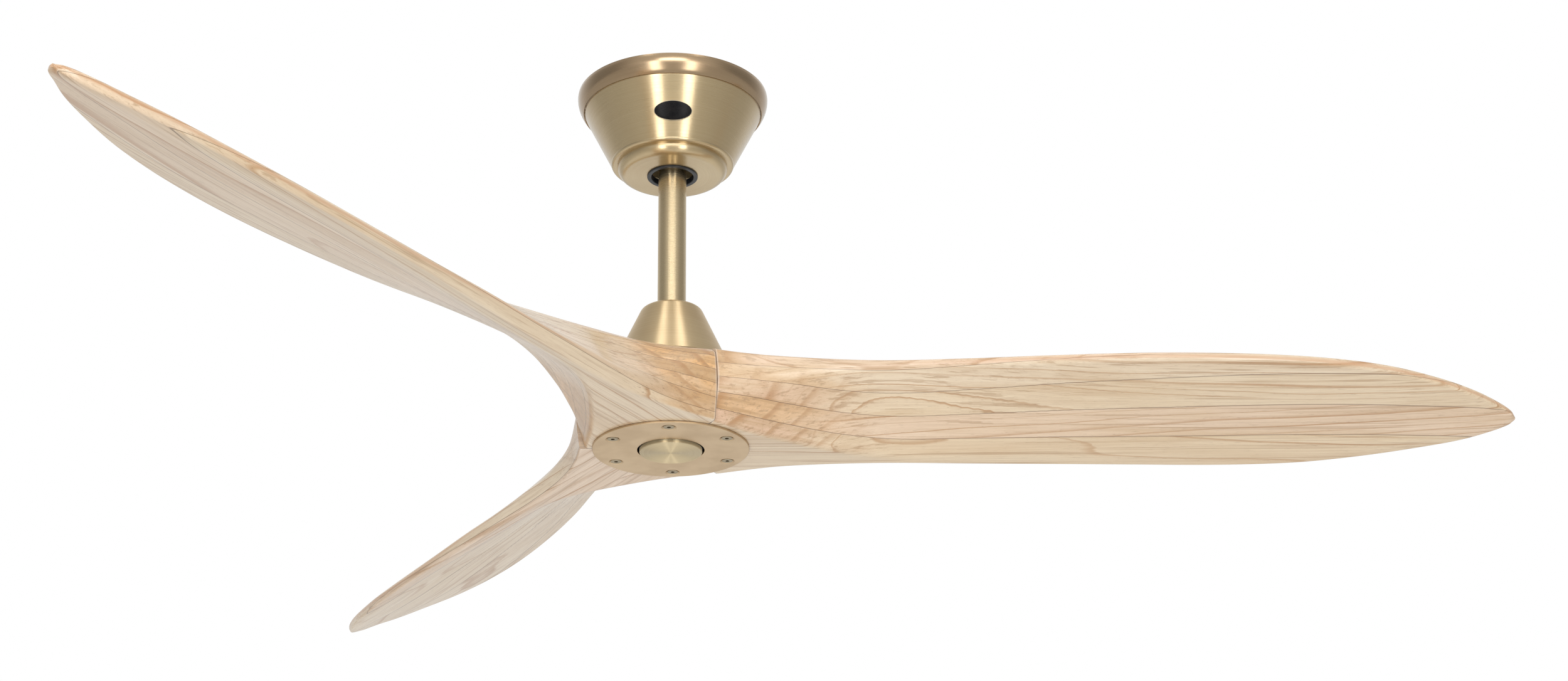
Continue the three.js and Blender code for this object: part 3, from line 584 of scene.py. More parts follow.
def varnished_wood(name, turn, board, first_joint, seed, root):
    """Laminated boards of pale ring-porous wood, in the blade's own axes: X along the blade.

    Each board has its own growth rings and tones. Where the surface cuts across the grain near
    the root, the tone deepens, the rings fade, and slanting arches and thin layers show.
    """
    g = Graph(name)
    place = g.turned_back(g.place, turn, (0, 0, DECK * MM))
    x, _, z = g.split(place)
    facing_x, facing_y, facing_z = g.split(g.turned_back(g.normal, turn))
    level = g.math("DIVIDE", g.math("SUBTRACT", z, first_joint * MM), board * MM)
    index = g.math("FLOOR", level)
    a, b, c = g.random(g.math("ADD", index, seed))
    d, e, f = g.random(g.math("ADD", index, seed + SECOND_DRAW))
    wander = g.noise(g.vector("MULTIPLY", place, (1.7, 7, 7)), detail=2, roughness=0.5)
    late, line = growth_rings(g, place, index, seed, (a, b, c, d, e, f), wander)

    fibres = g.noise(g.vector("MULTIPLY", place, (14, 620, 620)), detail=5, roughness=0.65)
    streaks = g.noise(g.vector("MULTIPLY", place, (2.5, 80, 80)), detail=4, roughness=0.65)
    veins = g.noise(g.vector("MULTIPLY", place, (2.2, 330, 330)), detail=3, roughness=0.6)
    layers = g.noise(g.vector("MULTIPLY", place, (7, 13, 210)), detail=3, roughness=0.6)
    pores = g.noise(g.vector("MULTIPLY", place, (95, 1900, 1900)), detail=2, roughness=0.5)
    pores = g.math("MULTIPLY", g.span(pores, 0.60, 0.74), g.span(late, 0.0, 0.6, 0.4, 1.0))
    flame = g.noise(g.vector("MULTIPLY", place, (4, 30, 30)), detail=4, roughness=0.65,
                    distortion=0.5)
    end_grain = g.math("MULTIPLY", g.span(g.math("ABSOLUTE", facing_x), 0.06, 0.50),
                       g.span(x, *ROOT_FADE, 1.0, 0.0))

    def on_end_grain(share):
        return g.math("MULTIPLY", end_grain, share)

    tone = g.mix(g.span(d, 0, 1, 0.0, 1.0, False), CREAM, STRAW)
    tone = g.mix(g.span(e, 0.45, 1, 0.0, 0.60), tone, ROSE)
    tone = g.mix(g.span(flame, 0.46, 0.74, 0.0, 0.45), tone, HONEY)
    root_tone = g.mix(g.span(c, 0.3, 0.7), TAN, root)
    tone = g.mix(on_end_grain(g.span(flame, 0.36, 0.60, 0.35, 0.95)), tone, root_tone)
    tone = g.mix(on_end_grain(g.span(f, 0.25, 0.85, 0.0, 0.75)), tone, UMBER)
    tone = g.mix(g.math("MULTIPLY", late, g.span(end_grain, 0, 0.5, 0.18, 0.0)), tone, UMBER)
    tone = g.mix(on_end_grain(g.span(layers, 0.42, 0.64, 0.0, 0.75)), tone, UMBER)
    arches = g.math("MULTIPLY", root_arches(g, place, b, wander), on_end_grain(0.80))
    tone = g.mix(arches, tone, LATEWOOD)
    off_end_grain = g.math("SUBTRACT", 0.92, on_end_grain(0.78))
    tone = g.mix(g.math("MULTIPLY", line, off_end_grain), tone, LATEWOOD)
    tone = g.mix(g.span(streaks, 0.38, 0.72, 0.0, 0.38), tone, STREAK)
    tone = g.mix(g.span(veins, 0.53, 0.66, 0.0, 0.58), tone, VEIN)
    tone = g.mix(g.span(fibres, 0.35, 0.75, 0.0, 0.24), tone, FIBRE)
    tone = g.mix(g.math("MULTIPLY", pores, 0.60), tone, PORE)
    # The upright faces are painted darker russet: painted shade on the edges that face sideways.
    upright = g.math("SUBTRACT", 1.0, g.math("ABSOLUTE", facing_z))
    edge_shade_share = g.math("MULTIPLY", g.span(upright, 0.60, 0.95, 0.0, 0.60), g.span(x, *EDGE_SHADE_FADE))
    tone = g.mix(edge_shade_share, tone, RUSSET_EDGE_SHADE)

    within = g.math("FRACT", level)
    to_joint = g.math("MULTIPLY", g.math("MINIMUM", within, g.math("SUBTRACT", 1.0, within)), board)
    joint = g.span(to_joint, 0.05, 0.30, 1.0, 0.0)
    tone = g.mix(g.math("MULTIPLY", joint, g.span(end_grain, 0, 1, 0.66, 0.9)), tone, GLUE_AND_SEAM_SHADE)

    # Painted highlight: the wood's edge at a seam is painted pale for the light on its rounded edge.
    # Painted shade: a dark band beside the seam stands for the shade in its gap, but not on the cut
    # itself.
    seam = seam_distance(g, place)
    tone = g.mix(g.span(seam, 0.6, 2.4, 0.35, 0.0), tone, SEAM_EDGE_HIGHLIGHT)
    cut_face = g.math("SUBTRACT",
                      g.math("MULTIPLY", g.math("ABSOLUTE", facing_y), math.cos(HALF_SECTOR)),
                      g.math("MULTIPLY", facing_x, math.sin(HALF_SECTOR)))
    seam_gap_shade = g.math("MULTIPLY", g.span(seam, 0.35, 0.75, 0.85, 0.0),
                    g.span(cut_face, 0.5, 0.8, 1.0, 0.0))
    tone = g.mix(seam_gap_shade, tone, GLUE_AND_SEAM_SHADE)

    rough = g.math("ADD", g.span(fibres, 0.3, 0.7, 0.38, 0.52), g.math("MULTIPLY", pores, 0.12))
    height = g.math("SUBTRACT", g.math("MULTIPLY", fibres, 0.35), g.math("MULTIPLY", pores, 0.8))
    height = g.math("SUBTRACT", height, g.math("MULTIPLY", joint, 0.8))
    edge = g.bump(g.span(seam, 0.0, 1.4), 0.0007, 0.6)
    g.set(Base_Color=tone, Roughness=rough, Normal=g.bump(height, 0.00009, 0.5, edge))
    g.shader.inputs["Coat Weight"].default_value = VARNISH_COAT
    g.shader.inputs["Coat Roughness"].default_value = VARNISH_ROUGHNESS
    return g.material


# ---- canopy --------------------------------------------------------------------------------------

canopy_brass = spun_brass("canopy_brass", 0.31, 0.85, 1.0, (0.80, 0.75, 0.67))
ring_brass = spun_brass("ring_brass", 0.22, 0.2, 1.0, (0.58, 0.49, 0.44), rotation=0.0)
rod_brass = spun_brass("rod_brass", 0.28, 0.85, 0.3, (0.84, 0.82, 0.80))
cover_brass = spun_brass("cover_brass", 0.36, 0.88, 0.2, (0.92, 0.86, 0.80))
cap_brass = spun_brass("cap_brass", 0.50, 0.98, 0.2)
plate_brass = blasted_brass("plate_brass", (0.66, 0.50, 0.32), (0.58, 0.43, 0.27))
black_plastic = moulded("black_plastic", (0.020, 0.024, 0.032), (0.012, 0.014, 0.019), 0.34)
grey_plastic = moulded("grey_plastic", (0.70, 0.70, 0.67), (0.62, 0.62, 0.59), 0.5)
badge_enamel = enamel("badge_enamel")
badge_metal = plated("badge_metal", (0.42, 0.36, 0.26), (0.32, 0.27, 0.19), 0.35)
screw_metal = plated("screw_metal", (0.40, 0.33, 0.22), (0.30, 0.24, 0.15), 0.36)
zinc_metal = plated("zinc_metal", (0.52, 0.53, 0.50), (0.40, 0.41, 0.38), 0.42)
ground_steel = plated("ground_steel", (0.56, 0.57, 0.58), (0.46, 0.47, 0.48), 0.28)
casting_paint = painted("casting_paint", (0.026, 0.026, 0.028), (0.018, 0.018, 0.019))
copper_wire = winding("copper_wire")
steel_sheets = laminations("steel_sheets")

# The canopy's sheet has a straight rim, a cone, a rounded step at the cone's foot and a cup.
CONE_TOP = (82.4, -19.5)
CONE_FOOT = (57.2, -70.2)
RIM_TOP = -0.6


def canopy_outline():
    sheet = 1.6
    hole = 22.3
    bottom = -82.2
    radius = 82.7
    cup = 51.3
    corner = 8.3
    lip = -72.9
    step = 2.5
    step_centre = (CONE_FOOT[0] - 2.4, lip + step)
    ease = 0.3
    centre = (cup - corner, bottom + corner)
    return [
        (hole, bottom + ease),
        (hole + ease, bottom),
        *arc(centre, corner, -90, 0, 14),
        (cup, lip),
        (step_centre[0], lip),
        *arc(step_centre, step, -80, 15, 8),
        CONE_FOOT,
        CONE_TOP,
        (radius, CONE_TOP[1] + 2),
        (radius, RIM_TOP),
        (radius - sheet, RIM_TOP),
        (radius - sheet, CONE_TOP[1] + 1.7),
        (CONE_TOP[0] - sheet, CONE_TOP[1] - ease),
        (CONE_FOOT[0] - sheet, CONE_FOOT[1] + ease),
        (CONE_FOOT[0] - 2.6, lip + sheet),
        (cup - sheet, lip + sheet),
        *arc(centre, corner - sheet, 0, -90, 8),
        (hole, bottom + sheet),
    ]


add_piece("canopy_shell", turned("canopy_shell", canopy_outline()), canopy_brass, "ceiling",
          ["canopy"])

RING_CENTRE = (65.6, -3)
RING_BEAD = 24
RING_SHEET = 1
RING_LOW_TURN = -40
RING_STEPS = 24
ring_outline = [
    *arc(RING_CENTRE, RING_BEAD, RING_LOW_TURN, 0, RING_STEPS),
    (RING_CENTRE[0] + RING_BEAD - 0.4, RIM_TOP),
    (RING_CENTRE[0] + RING_BEAD - RING_SHEET, RIM_TOP),
    *arc(RING_CENTRE, RING_BEAD - RING_SHEET, 0, RING_LOW_TURN, RING_STEPS),
]
add_piece("canopy_bead", turned("canopy_bead", ring_outline), ring_brass, "ceiling",
          ["canopy_ring"])

# The collar snaps into the canopy's hole: a flange below, a neck in the hole, a barb above.
COLLAR_BORE = 19.6
COLLAR_FLANGE = 23.6
COLLAR_NECK = 22
COLLAR_BOTTOM = -83.7
COLLAR_TOP = -77.7
HOLE_LOW = -82.5
HOLE_HIGH = -80.3
collar_outline = rounded([
    [COLLAR_BORE, COLLAR_BOTTOM, 0.8], [COLLAR_FLANGE, COLLAR_BOTTOM, 0.9],
    [COLLAR_FLANGE, HOLE_LOW], [COLLAR_NECK, HOLE_LOW], [COLLAR_NECK, HOLE_HIGH],
    [23.3, HOLE_HIGH, 0.2], [22.6, COLLAR_TOP, 0.5], [COLLAR_BORE, COLLAR_TOP, 0.5],
])
add_piece("canopy_collar_ring", turned("canopy_collar_ring", collar_outline), black_plastic,
          "ceiling", ["canopy_collar"])


def cone_shell(name, inner, outer, half_width, half_height, crown, height, azimuth):
    """An oval patch that follows the canopy's cone, from one offset to another, crowned."""
    slope = (CONE_TOP[0] - CONE_FOOT[0]) / (CONE_TOP[1] - CONE_FOOT[1])
    middle = CONE_FOOT[0] + slope * (height - CONE_FOOT[1])
    lean = math.cos(math.atan(slope))
    rings = 6
    steps = SMALL
    edge_drop = 0.25
    bm = bmesh.new()

    def spot(share, angle, offset):
        across = share * half_width * math.cos(angle)
        up = share * half_height * math.sin(angle)
        z = height + up
        radius = CONE_FOOT[0] + slope * (z - CONE_FOOT[1]) + offset / lean
        turn = math.radians(azimuth) + across / middle
        return bm.verts.new((radius * math.cos(turn), radius * math.sin(turn), z))

    def sheet(offset_at):
        centre = spot(0, 0, offset_at(0))
        loops = [[spot(k / rings, 2 * math.pi * i / steps, offset_at(k / rings))
                  for i in range(steps)] for k in range(1, rings + 1)]
        for i in range(steps):
            j = (i + 1) % steps
            bm.faces.new([centre, loops[0][i], loops[0][j]])
            for k in range(rings - 1):
                bm.faces.new([loops[k][i], loops[k + 1][i], loops[k + 1][j], loops[k][j]])
        return loops[-1]

    front = sheet(lambda share: outer + crown * (1 - share * share) - edge_drop * share ** 12)
    back = sheet(lambda share: inner)
    for i in range(steps):
        j = (i + 1) % steps
        bm.faces.new([front[i], front[j], back[j], back[i]])
    return finish_mesh(bm, name)


# The badge's height and azimuth.
BADGE = (-49, -89.7)
add_piece("badge_back", cone_shell("badge_back", 0.35, 0.85, 17.5, 8.3, 0, *BADGE), badge_metal,
          "ceiling", ["canopy_badge"])
add_piece("badge_face", cone_shell("badge_face", 0.86, 1.05, 17.0, 7.8, 0.2, *BADGE), badge_enamel,
          "ceiling", ["canopy_badge"])

# ---- rod and coupling cover ----------------------------------------------------------------------

rod_lo, rod_hi = (corner[2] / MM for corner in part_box("downrod"))
ROD_RADIUS = 13
ROD_BORE = 11
ROD_EDGE = 0.4
rod_outline = rounded([
    [ROD_BORE, rod_lo], [ROD_RADIUS, rod_lo, ROD_EDGE], [ROD_RADIUS, rod_hi, ROD_EDGE],
    [ROD_BORE, rod_hi],
])
add_piece("rod_tube", turned("rod_tube", rod_outline, MEDIUM), rod_brass, "hanging", ["downrod"])

SHOULDER = (22.5, 129.5)
SHOULDER_RADIUS = 7
COVER_SHEET = 1.5
COVER_LEAN = 24
COVER_FOOT = 79.0
COVER_BORE = 13.4
COVER_TOP = 136.5
cover_outline = [
    (51.7, COVER_FOOT + 0.2),
    (52.0, COVER_FOOT),
    (53.0, COVER_FOOT),
    (53.2, COVER_FOOT + 0.3),
    *arc(SHOULDER, SHOULDER_RADIUS, COVER_LEAN, 88, 14),
    (COVER_BORE + 0.3, COVER_TOP),
    (COVER_BORE, COVER_TOP - 0.3),
    (COVER_BORE, COVER_TOP - COVER_SHEET),
    *arc(SHOULDER, SHOULDER_RADIUS - COVER_SHEET, 90, COVER_LEAN, 8),
]
add_piece("cover_cone", turned("cover_cone", cover_outline, lift=DECK), cover_brass, "hanging",
          ["coupling_cover"])

# ---- blades --------------------------------------------------------------------------------------

# Blade stations, in the blade's axes: the distance out, then y and z of the leading edge's top
# corner, how far its lower corner stands out and lies below, y and z of the crease between the
# flat underside and the pitched face, of the trailing edge's low and high corners, and of the
# crown. Heights start at the wood's underside.
STATIONS = [
    (20, -80, 68.5, 6, 33, -76, 0, 77, 0, 82, 65, 70, 70.5),
    (42, -69, 68, 7, 33, -64, 0, 70, 0, 71, 63, 58, 70),
    (70, -60, 67.5, 9, 30, -40, 0, 60, 0, 60, 46, 40, 69),
    (100, -54, 67, 8, 23, -18, 0, 51.5, 0, 53, 25, 24, 68),
    (150, -50, 65.5, 4, 13, 12, 0, 43, -1, 51, 12, 12, 63),
    (200, -51, 64, 1, 9, 28, 0.5, 40, -1.5, 51, 9.5, 1, 58),
    (270, -61, 61.5, 1, 8, 29, 1.5, 42, -2, 50, 9, -16, 53),
    (340, -73, 59, 1, 8, 31, 1.5, 45, -2, 50.5, 9, -34, 52),
    (420, -82, 57, 1, 8, 34, 1.5, 48, -2, 50.5, 7.5, -42, 51),
    (500, -85, 54.5, 1, 8, 36, 1.5, 49, -2.5, 50.5, 6.5, -44, 49),
    (570, -81, 52, 1, 8, 34, 2, 46.5, -1.5, 47.5, 7.5, -42, 46),
    (630, -70, 48.5, 1, 7.5, 27, 5, 39, 2, 40.5, 10.5, -36, 43),
    (680, -52, 43.5, 1, 7, 19, 9, 30, 6.5, 31.5, 14.5, -26, 39),
    (715, -35, 38.5, 1, 7, 12, 12.5, 21, 10, 22.5, 18, -15, 35),
    (740, -19, 33.5, 1, 6, 5, 16, 12, 14.5, 13.5, 22, -7, 30.5),
    (755, -8, 28.5, 1, 5, 1.5, 19.5, 5, 18.5, 6.5, 24, -2, 27),
    (760, -1, 24.5, 0.5, 2, 0.8, 22, 1.2, 22, 1.6, 24, 0.5, 25),
]
WOOD_BOTTOM = 2.3
FAN_RADIUS = 760
HUB_BORE = 49
FLANGE_RECESS = 66.8
RECESS_FLOOR = 66.7
SCREW_CIRCLE = 58
SCREW_HOLE = 2.8
SCREW_HOLE_TURNS = (-30, 30)
SEAM_GAP = 0.3

# Sections change from the deep root to the thin blade up to ROOT_END, over ROOT_SPAN.
ROOT_END = 200
ROOT_SPAN = 160

# Cutting tools reach below and above the wood, and past the blade's tip.
TOOL_LOW = -20
TOOL_HIGH = 100
TOOL_REACH = 20


def station(distance):
    """The row at a distance: a cubic through the rows, sloped as the rows on either side."""
    last = len(STATIONS) - 2
    i = next((k for k in range(last) if distance <= STATIONS[k + 1][0]), last)
    rows = [STATIONS[k] for k in (max(0, i - 1), i, i + 1, min(last + 1, i + 2))]
    span = rows[2][0] - rows[1][0]
    t = (distance - rows[1][0]) / span
    result = []
    for before, start, end, after in zip(*rows):
        slope_start = (end - before) * span / (rows[2][0] - rows[0][0])
        slope_end = (after - start) * span / (rows[3][0] - rows[1][0])
        cubic = 2 * start - 2 * end + slope_start + slope_end
        square = 3 * end - 3 * start - 2 * slope_start - slope_end
        result.append(((cubic * t + square) * t + slope_start) * t + start)
    return result


def section_corners(distance):
    """Corners of a section as (y, z, rounding), anticlockwise seen from the hub."""
    (_, lead_y, lead_z, nose_out, nose_drop, crease_y, crease_z, low_y, low_z, high_y, high_z,
     crown_y, crown_z) = station(distance)
    root = min(1.0, max(0.0, (ROOT_END - distance) / ROOT_SPAN))
    bulge = 1.5 + 2.5 * root
    edge = min(4.0, (high_z - low_z) / 2.5)
    return [
        (lead_y, lead_z, edge),
        (lead_y - nose_out, lead_z - nose_drop, edge + 18 * root),
        (crease_y, crease_z, 5),
        (low_y, low_z, edge * 0.6),
        ((low_y + high_y) / 2 + bulge, (low_z + high_z) / 2, edge + 14 * root),
        (high_y, high_z, edge),
        (crown_y, crown_z, 14),
    ]


def section_loop(distance, steps):
    """A section's points. Each corner becomes a short quadratic curve."""
    corners = section_corners(distance)
    loop = []
    for i, (y, z, rounding) in enumerate(corners):
        here = Vector((y, z))
        ends = []
        for k in (i - 1, (i + 1) % len(corners)):
            arm = Vector(corners[k][:2]) - here
            ends.append(here + arm.normalized() * min(rounding, CURVE_SHARE * arm.length))
        for k in range(steps):
            t = k / (steps - 1)
            point = ends[0] * (1 - t) ** 2 + here * (2 * t * (1 - t)) + ends[1] * t * t
            loop.append((point.x, point.y))
    return loop


# Points in the curve at each corner of a section, and the blade's sections: from one distance to
# another, and about how far apart.
CORNER_STEPS = 9
SECTION_RUNS = [(20, ROOT_END, 5), (ROOT_END, 700, 10), (700, 745, 5), (745, FAN_RADIUS, 1.5)]


def blade_distances():
    result = []
    for start, end, step in SECTION_RUNS:
        count = round((end - start) / step)
        result += [start + (end - start) * k / count for k in range(count)]
    return result + [FAN_RADIUS]


def blade_blank():
    bm = bmesh.new()
    loops = []
    for distance in blade_distances():
        loop = section_loop(distance, CORNER_STEPS)
        loops.append([bm.verts.new((distance, y, z + WOOD_BOTTOM)) for y, z in loop])
    count = len(loops[0])
    for here, there in zip(loops, loops[1:]):
        for i in range(count):
            j = (i + 1) % count
            bm.faces.new([here[i], here[j], there[j], there[i]])
    for loop in (loops[0], loops[-1]):
        bm.faces.new(loop)
    return finish_mesh(bm, "blade_blank")


def blade_mesh():
    apex = SEAM_GAP / 2 / math.sin(HALF_SECTOR)
    length = FAN_RADIUS + TOOL_REACH
    half = (length - apex) * math.tan(HALF_SECTOR)
    wedge = prism("wedge", [(apex, 0), (length, -half), (length, half)], TOOL_LOW, TOOL_HIGH)
    sector = combine(blade_blank(), [wedge], "INTERSECT")
    tools = [
        disc_prism("bore", HUB_BORE, TOOL_LOW, TOOL_HIGH, FINE),
        disc_prism("recess", FLANGE_RECESS, RECESS_FLOOR, TOOL_HIGH, FINE),
    ]
    for degrees in SCREW_HOLE_TURNS:
        hole = disc_prism("screw_hole", SCREW_HOLE, TOOL_LOW, TOOL_HIGH, 24)
        tools.append(moved(hole, at(*polar(SCREW_CIRCLE, degrees))))
    return combine(sector, tools, "DIFFERENCE")


# For each blade: the thickness of its boards, the height of a joint above the deck, the seed of its
# random numbers and the tone of the wood at its root.
BOARDS = [
    (14.0, 0.0, 3.0, (0.74, 0.50, 0.35)),
    (13.6, 4.0, 61.0, (0.74, 0.47, 0.26)),
    (13.1, -4.1, 122.0, (0.84, 0.48, 0.20)),
]
blade_shape = blade_mesh()
for number in range(BLADE_COUNT):
    name = f"wood_blade_{number + 1}"
    degrees = BLADE_TURN + 360 * number / BLADE_COUNT
    turn = Matrix.Rotation(math.radians(degrees), 4, "Z")
    add_piece(name, moved(blade_shape, at(0, 0, DECK) @ turn),
              varnished_wood(name + "_wood", math.radians(degrees), *BOARDS[number]), "rotor",
              [f"blade_{number + 1}"])

# ---- clamp plate, cap and screws -----------------------------------------------------------------

PLATE_RADIUS = 70
PLATE_OPENING = 30
PLATE_THICKNESS = 2
plate_outline = rounded([
    [PLATE_OPENING, 0, 0.35], [PLATE_RADIUS, 0, 0.7], [PLATE_RADIUS, PLATE_THICKNESS, 0.2],
    [PLATE_OPENING, PLATE_THICKNESS],
])
countersink_outline = [(0, -0.5), (7.1, -0.5), (6.5, 0.15), (4.4, 2.1), (0, 2.1)]
countersink = turned("countersink", countersink_outline, SMALL)
SCREW_COUNT = 6
FIRST_SCREW_TURN = -90
screw_turns = [FIRST_SCREW_TURN + k * 360 / SCREW_COUNT for k in range(SCREW_COUNT)]
plate = combine(turned("plate", plate_outline),
                [moved(countersink, at(*polar(SCREW_CIRCLE, a))) for a in screw_turns], "DIFFERENCE")
rotor_place = at(0, 0, DECK) @ Matrix.Rotation(math.radians(BLADE_TURN), 4, "Z")
add_piece("hub_plate", moved(plate, rotor_place), plate_brass, "rotor", ["clamp_plate"])

# The cap is a disc with a plug above it.
CAP_RADIUS = 28
CAP_BOTTOM = -2.5
CAP_TOP = 1.2
PLUG_RADIUS = 4.7
PLUG_TOP = 16
cap_outline = rounded([
    [0, CAP_BOTTOM], [CAP_RADIUS, CAP_BOTTOM, 0.9], [CAP_RADIUS, CAP_TOP, 0.2],
    [PLUG_RADIUS, CAP_TOP], [PLUG_RADIUS, PLUG_TOP], [0, PLUG_TOP],
])
add_piece("hub_cap", turned("hub_cap", cap_outline, lift=DECK), cap_brass, "hanging",
          ["centre_cap"])

# A countersunk screw with a six-sided socket. Each is turned further than the one before.
HEAD_RADIUS = 5.0
HEAD_FACE = 0.15
SHANK_RADIUS = 2.5
SHANK_TOP = 72
SOCKET_RADIUS = 1.9
SOCKET_DEPTH = 2.2
SCREW_SPIN = 47
screw_outline = rounded([
    [0, HEAD_FACE], [HEAD_RADIUS, HEAD_FACE, 0.3], [HEAD_RADIUS, 0.6], [SHANK_RADIUS, 3.3],
    [SHANK_RADIUS, SHANK_TOP], [0, SHANK_TOP],
])
socket = disc_prism("socket", SOCKET_RADIUS, -1, SOCKET_DEPTH, 6)
screw = combine(turned("screw", screw_outline, SMALL), [socket], "DIFFERENCE")
for number, degrees in enumerate(screw_turns):
    spin = Matrix.Rotation(math.radians(SCREW_SPIN * number), 4, "Z")
    place = rotor_place @ at(*polar(SCREW_CIRCLE, degrees)) @ spin
    add_piece(f"plate_screw_{number + 1}", moved(screw, place), screw_metal, "rotor",
              [f"blade_screw_{number + 1}"])

# ---- CAD nodes that stay -------------------------------------------------------------------------

KEPT = {
    "hanger_bracket": zinc_metal, "receiver_box": grey_plastic, "terminal_block": grey_plastic,
    "hanger_ball": black_plastic, "ball_pin": ground_steel, "shaft_coupler": zinc_metal,
    "coupling_pin": ground_steel, "coupling_clip": ground_steel, "motor_shaft": ground_steel,
    "stator_core": steel_sheets, "upper_motor_housing": casting_paint,
    "lower_motor_housing": casting_paint, "magnet_ring": zinc_metal,
    "upper_bearing": ground_steel, "lower_bearing": ground_steel,
    **{f"canopy_screw_{k}": ground_steel for k in range(1, 5)},
    **{f"grub_screw_{k}": ground_steel for k in range(1, 4)},
    **{f"motor_screw_{k}": ground_steel for k in range(1, 5)},
    **{f"stator_coil_{k}": copper_wire for k in range(1, 10)},
}
for node, material in KEPT.items():
    mesh_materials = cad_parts[node].data.materials
    if len(mesh_materials) == 0:
        mesh_materials.append(material)
    for k in range(len(mesh_materials)):
        mesh_materials[k] = material

# ---- studio --------------------------------------------------------------------------------------

FLOOR_HEIGHT = -2.4
FLOOR_REACH = 45
floor_corners = [(x * FLOOR_REACH, y * FLOOR_REACH, 0) for x, y in ((-1, -1), (1, -1), (1, 1), (-1, 1))]
floor_mesh = bpy.data.meshes.new("floor")
floor_mesh.from_pydata(floor_corners, [], [(0, 1, 2, 3)])
floor = bpy.data.objects.new("floor", floor_mesh)
floor.location.z = FLOOR_HEIGHT
floor_mesh.materials.append(studio_floor("studio_floor"))
bpy.context.scene.collection.objects.link(floor)


def softbox(name, place, target, size, radiance):
    """A rectangular soft light of even brightness that faces a point."""
    light = bpy.data.lights.new(name, "AREA")
    light.shape = "RECTANGLE"
    light.size, light.size_y = size
    light.energy = radiance * math.pi * size[0] * size[1]
    lamp = bpy.data.objects.new(name, light)
    lamp.location = place
    lamp.rotation_mode = "QUATERNION"
    lamp.rotation_quaternion = (Vector(target) - Vector(place)).to_track_quat("-Z", "Y")
    lamp.visible_camera = False
    bpy.context.scene.collection.objects.link(lamp)


def place_around(azimuth, distance, height):
    """A point round the fan. Azimuth 0 is in front, positive to the right."""
    angle = math.radians(azimuth)
    return distance * math.sin(angle), -distance * math.cos(angle), height


# A gauze disc stands in for the ceiling and keeps about half of the light out of the canopy. The
# camera doesn't see it, so the canopy's top stays open to view.
SHADE_RADIUS = 88
SHADE_LOW = 2
SHADE_HIGH = 4
shade_mesh = disc_prism("ceiling_shade", SHADE_RADIUS, SHADE_LOW, SHADE_HIGH)
shade = bpy.data.objects.new("ceiling_shade", shade_mesh)
shade_mesh.materials.append(ceiling_gauze("ceiling_gauze"))
shade.visible_camera = False
bpy.context.scene.collection.objects.link(shade)

MIDDLE = (0, 0, -0.2)
STRIP_TURN = 21
STRIP_DISTANCE = 2.7
STRIP_HEIGHT = -0.75
STRIP_SIZE = (0.55, 2.0)
STRIP_RADIANCE = 4.6
FILL_BEHIND = 4.0
FILL_LIFT = 0.1
FILL_SIZE = (5.4, 10)
FILL_RADIANCE = 0.26
ACROSS_PLACE = (0, -2.75, 0.42)
ACROSS_SIZE = (1.5, 0.5)
ACROSS_RADIANCE = 5.2
TOP_ASIDE = 0.62
TOP_FRONT = -0.9
TOP_HEIGHT = 2.2
TOP_SIZE = (0.4, 1.6)
TOP_RADIANCE = 3.4
SIDES = (("left", -1), ("right", 1))
for side, sign in SIDES:
    softbox(f"strip_{side}", place_around(sign * STRIP_TURN, STRIP_DISTANCE, STRIP_HEIGHT), MIDDLE,
            STRIP_SIZE, STRIP_RADIANCE)
softbox("fill_below", (0, FILL_BEHIND, FLOOR_HEIGHT + FILL_LIFT), (0, FILL_BEHIND, 0), FILL_SIZE,
        FILL_RADIANCE)
softbox("strip_across", ACROSS_PLACE, (0, 0, 0), ACROSS_SIZE, ACROSS_RADIANCE)
for side, sign in SIDES:
    softbox(f"top_{side}", (sign * TOP_ASIDE, TOP_FRONT, TOP_HEIGHT), MIDDLE, TOP_SIZE, TOP_RADIANCE)

# The ambient light's strength is the sum of these ramps: the sky's axis, where the ramp starts and
# ends on it, and the strength at its start and at its end.
SKY_RAMPS = [
    ("Y", 0.1, 0.9, 0.34, 0.75),
    ("Y", -0.9, -0.3, 0.50, 0.0),
    ("Z", 0.2, 0.9, 0.0, 0.30),
]
WHITE = (1, 1, 1, 1)
WARM_WHITE = (1, 0.99, 0.97, 1)


def sky_ramp(tree, sky_axes, axis, *numbers):
    ramp = tree.nodes.new("ShaderNodeMapRange")
    ramp.interpolation_type = "SMOOTHSTEP"
    tree.links.new(sky_axes.outputs[axis], ramp.inputs["Value"])
    for socket, number in zip(ramp.inputs[1:5], numbers):
        socket.default_value = number
    return ramp.outputs[0]


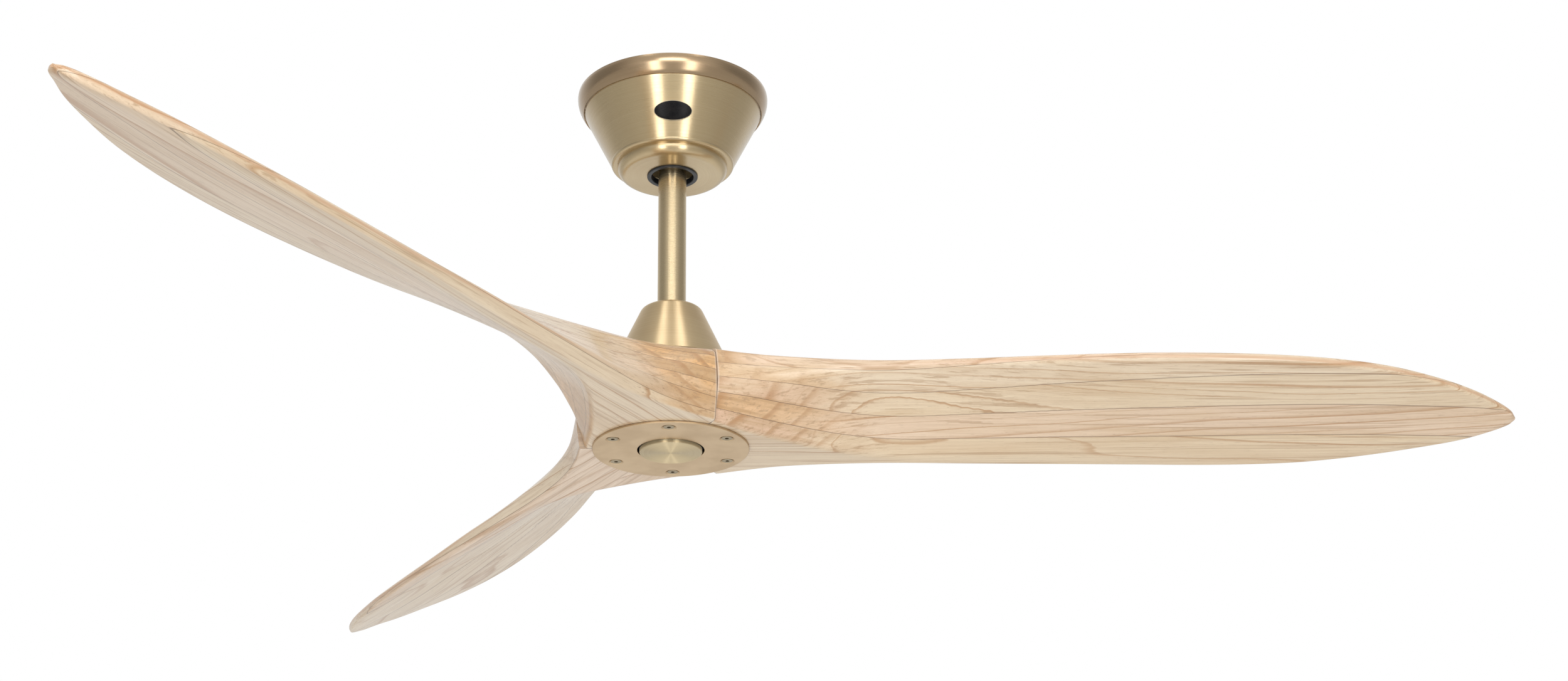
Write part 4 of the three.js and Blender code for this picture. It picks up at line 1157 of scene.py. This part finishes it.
def ambient_strength(tree):
    """The sum of the sky's ramps."""
    sky = tree.nodes.new("ShaderNodeTexCoord")
    sky_axes = tree.nodes.new("ShaderNodeSeparateXYZ")
    tree.links.new(sky.outputs["Generated"], sky_axes.inputs[0])
    strength = sky_ramp(tree, sky_axes, *SKY_RAMPS[0])
    for row in SKY_RAMPS[1:]:
        total = tree.nodes.new("ShaderNodeMath")
        tree.links.new(strength, total.inputs[0])
        tree.links.new(sky_ramp(tree, sky_axes, *row), total.inputs[1])
        strength = total.outputs[0]
    return strength


def light_world():
    """A white backdrop for the camera and an uneven ambient light for everything else."""
    world = bpy.data.worlds.new("studio")
    bpy.context.scene.world = world
    world.use_nodes = True
    tree = world.node_tree
    tree.nodes.clear()
    backdrop = tree.nodes.new("ShaderNodeBackground")
    backdrop.inputs["Color"].default_value = WHITE
    backdrop.inputs["Strength"].default_value = 1.0
    ambient = tree.nodes.new("ShaderNodeBackground")
    ambient.inputs["Color"].default_value = WARM_WHITE
    tree.links.new(ambient_strength(tree), ambient.inputs["Strength"])
    path = tree.nodes.new("ShaderNodeLightPath")
    blend = tree.nodes.new("ShaderNodeMixShader")
    output = tree.nodes.new("ShaderNodeOutputWorld")
    tree.links.new(path.outputs["Is Camera Ray"], blend.inputs[0])
    tree.links.new(ambient.outputs[0], blend.inputs[1])
    tree.links.new(backdrop.outputs[0], blend.inputs[2])
    tree.links.new(blend.outputs[0], output.inputs["Surface"])


light_world()
bpy.context.scene.view_settings.view_transform = "Standard"

# ---- camera --------------------------------------------------------------------------------------

# The camera's place in metres, its angles in radians, and its lens and sensor in millimetres.
CAMERA_PLACE = (0.005998, -2.05003, -1.10647)
YAW, PITCH, ROLL = 0.04697, 0.39615, -0.01323
LENS = 56.09
SENSOR_WIDTH = 36
camera_data = bpy.data.cameras.new("camera")
camera_data.lens = LENS
camera_data.sensor_width = SENSOR_WIDTH
camera = bpy.data.objects.new("camera", camera_data)
bpy.context.scene.collection.objects.link(camera)
level_forward = Vector((math.sin(YAW), math.cos(YAW), 0))
forward = level_forward * math.cos(PITCH) + Vector((0, 0, math.sin(PITCH)))
level_right = Vector((math.cos(YAW), -math.sin(YAW), 0))
level_up = level_right.cross(forward)
right = math.cos(ROLL) * level_right + math.sin(ROLL) * level_up
up = -math.sin(ROLL) * level_right + math.cos(ROLL) * level_up
axes = Matrix((right, up, -forward)).transposed().to_4x4()
camera.matrix_world = Matrix.Translation(CAMERA_PLACE) @ axes
bpy.context.scene.camera = camera
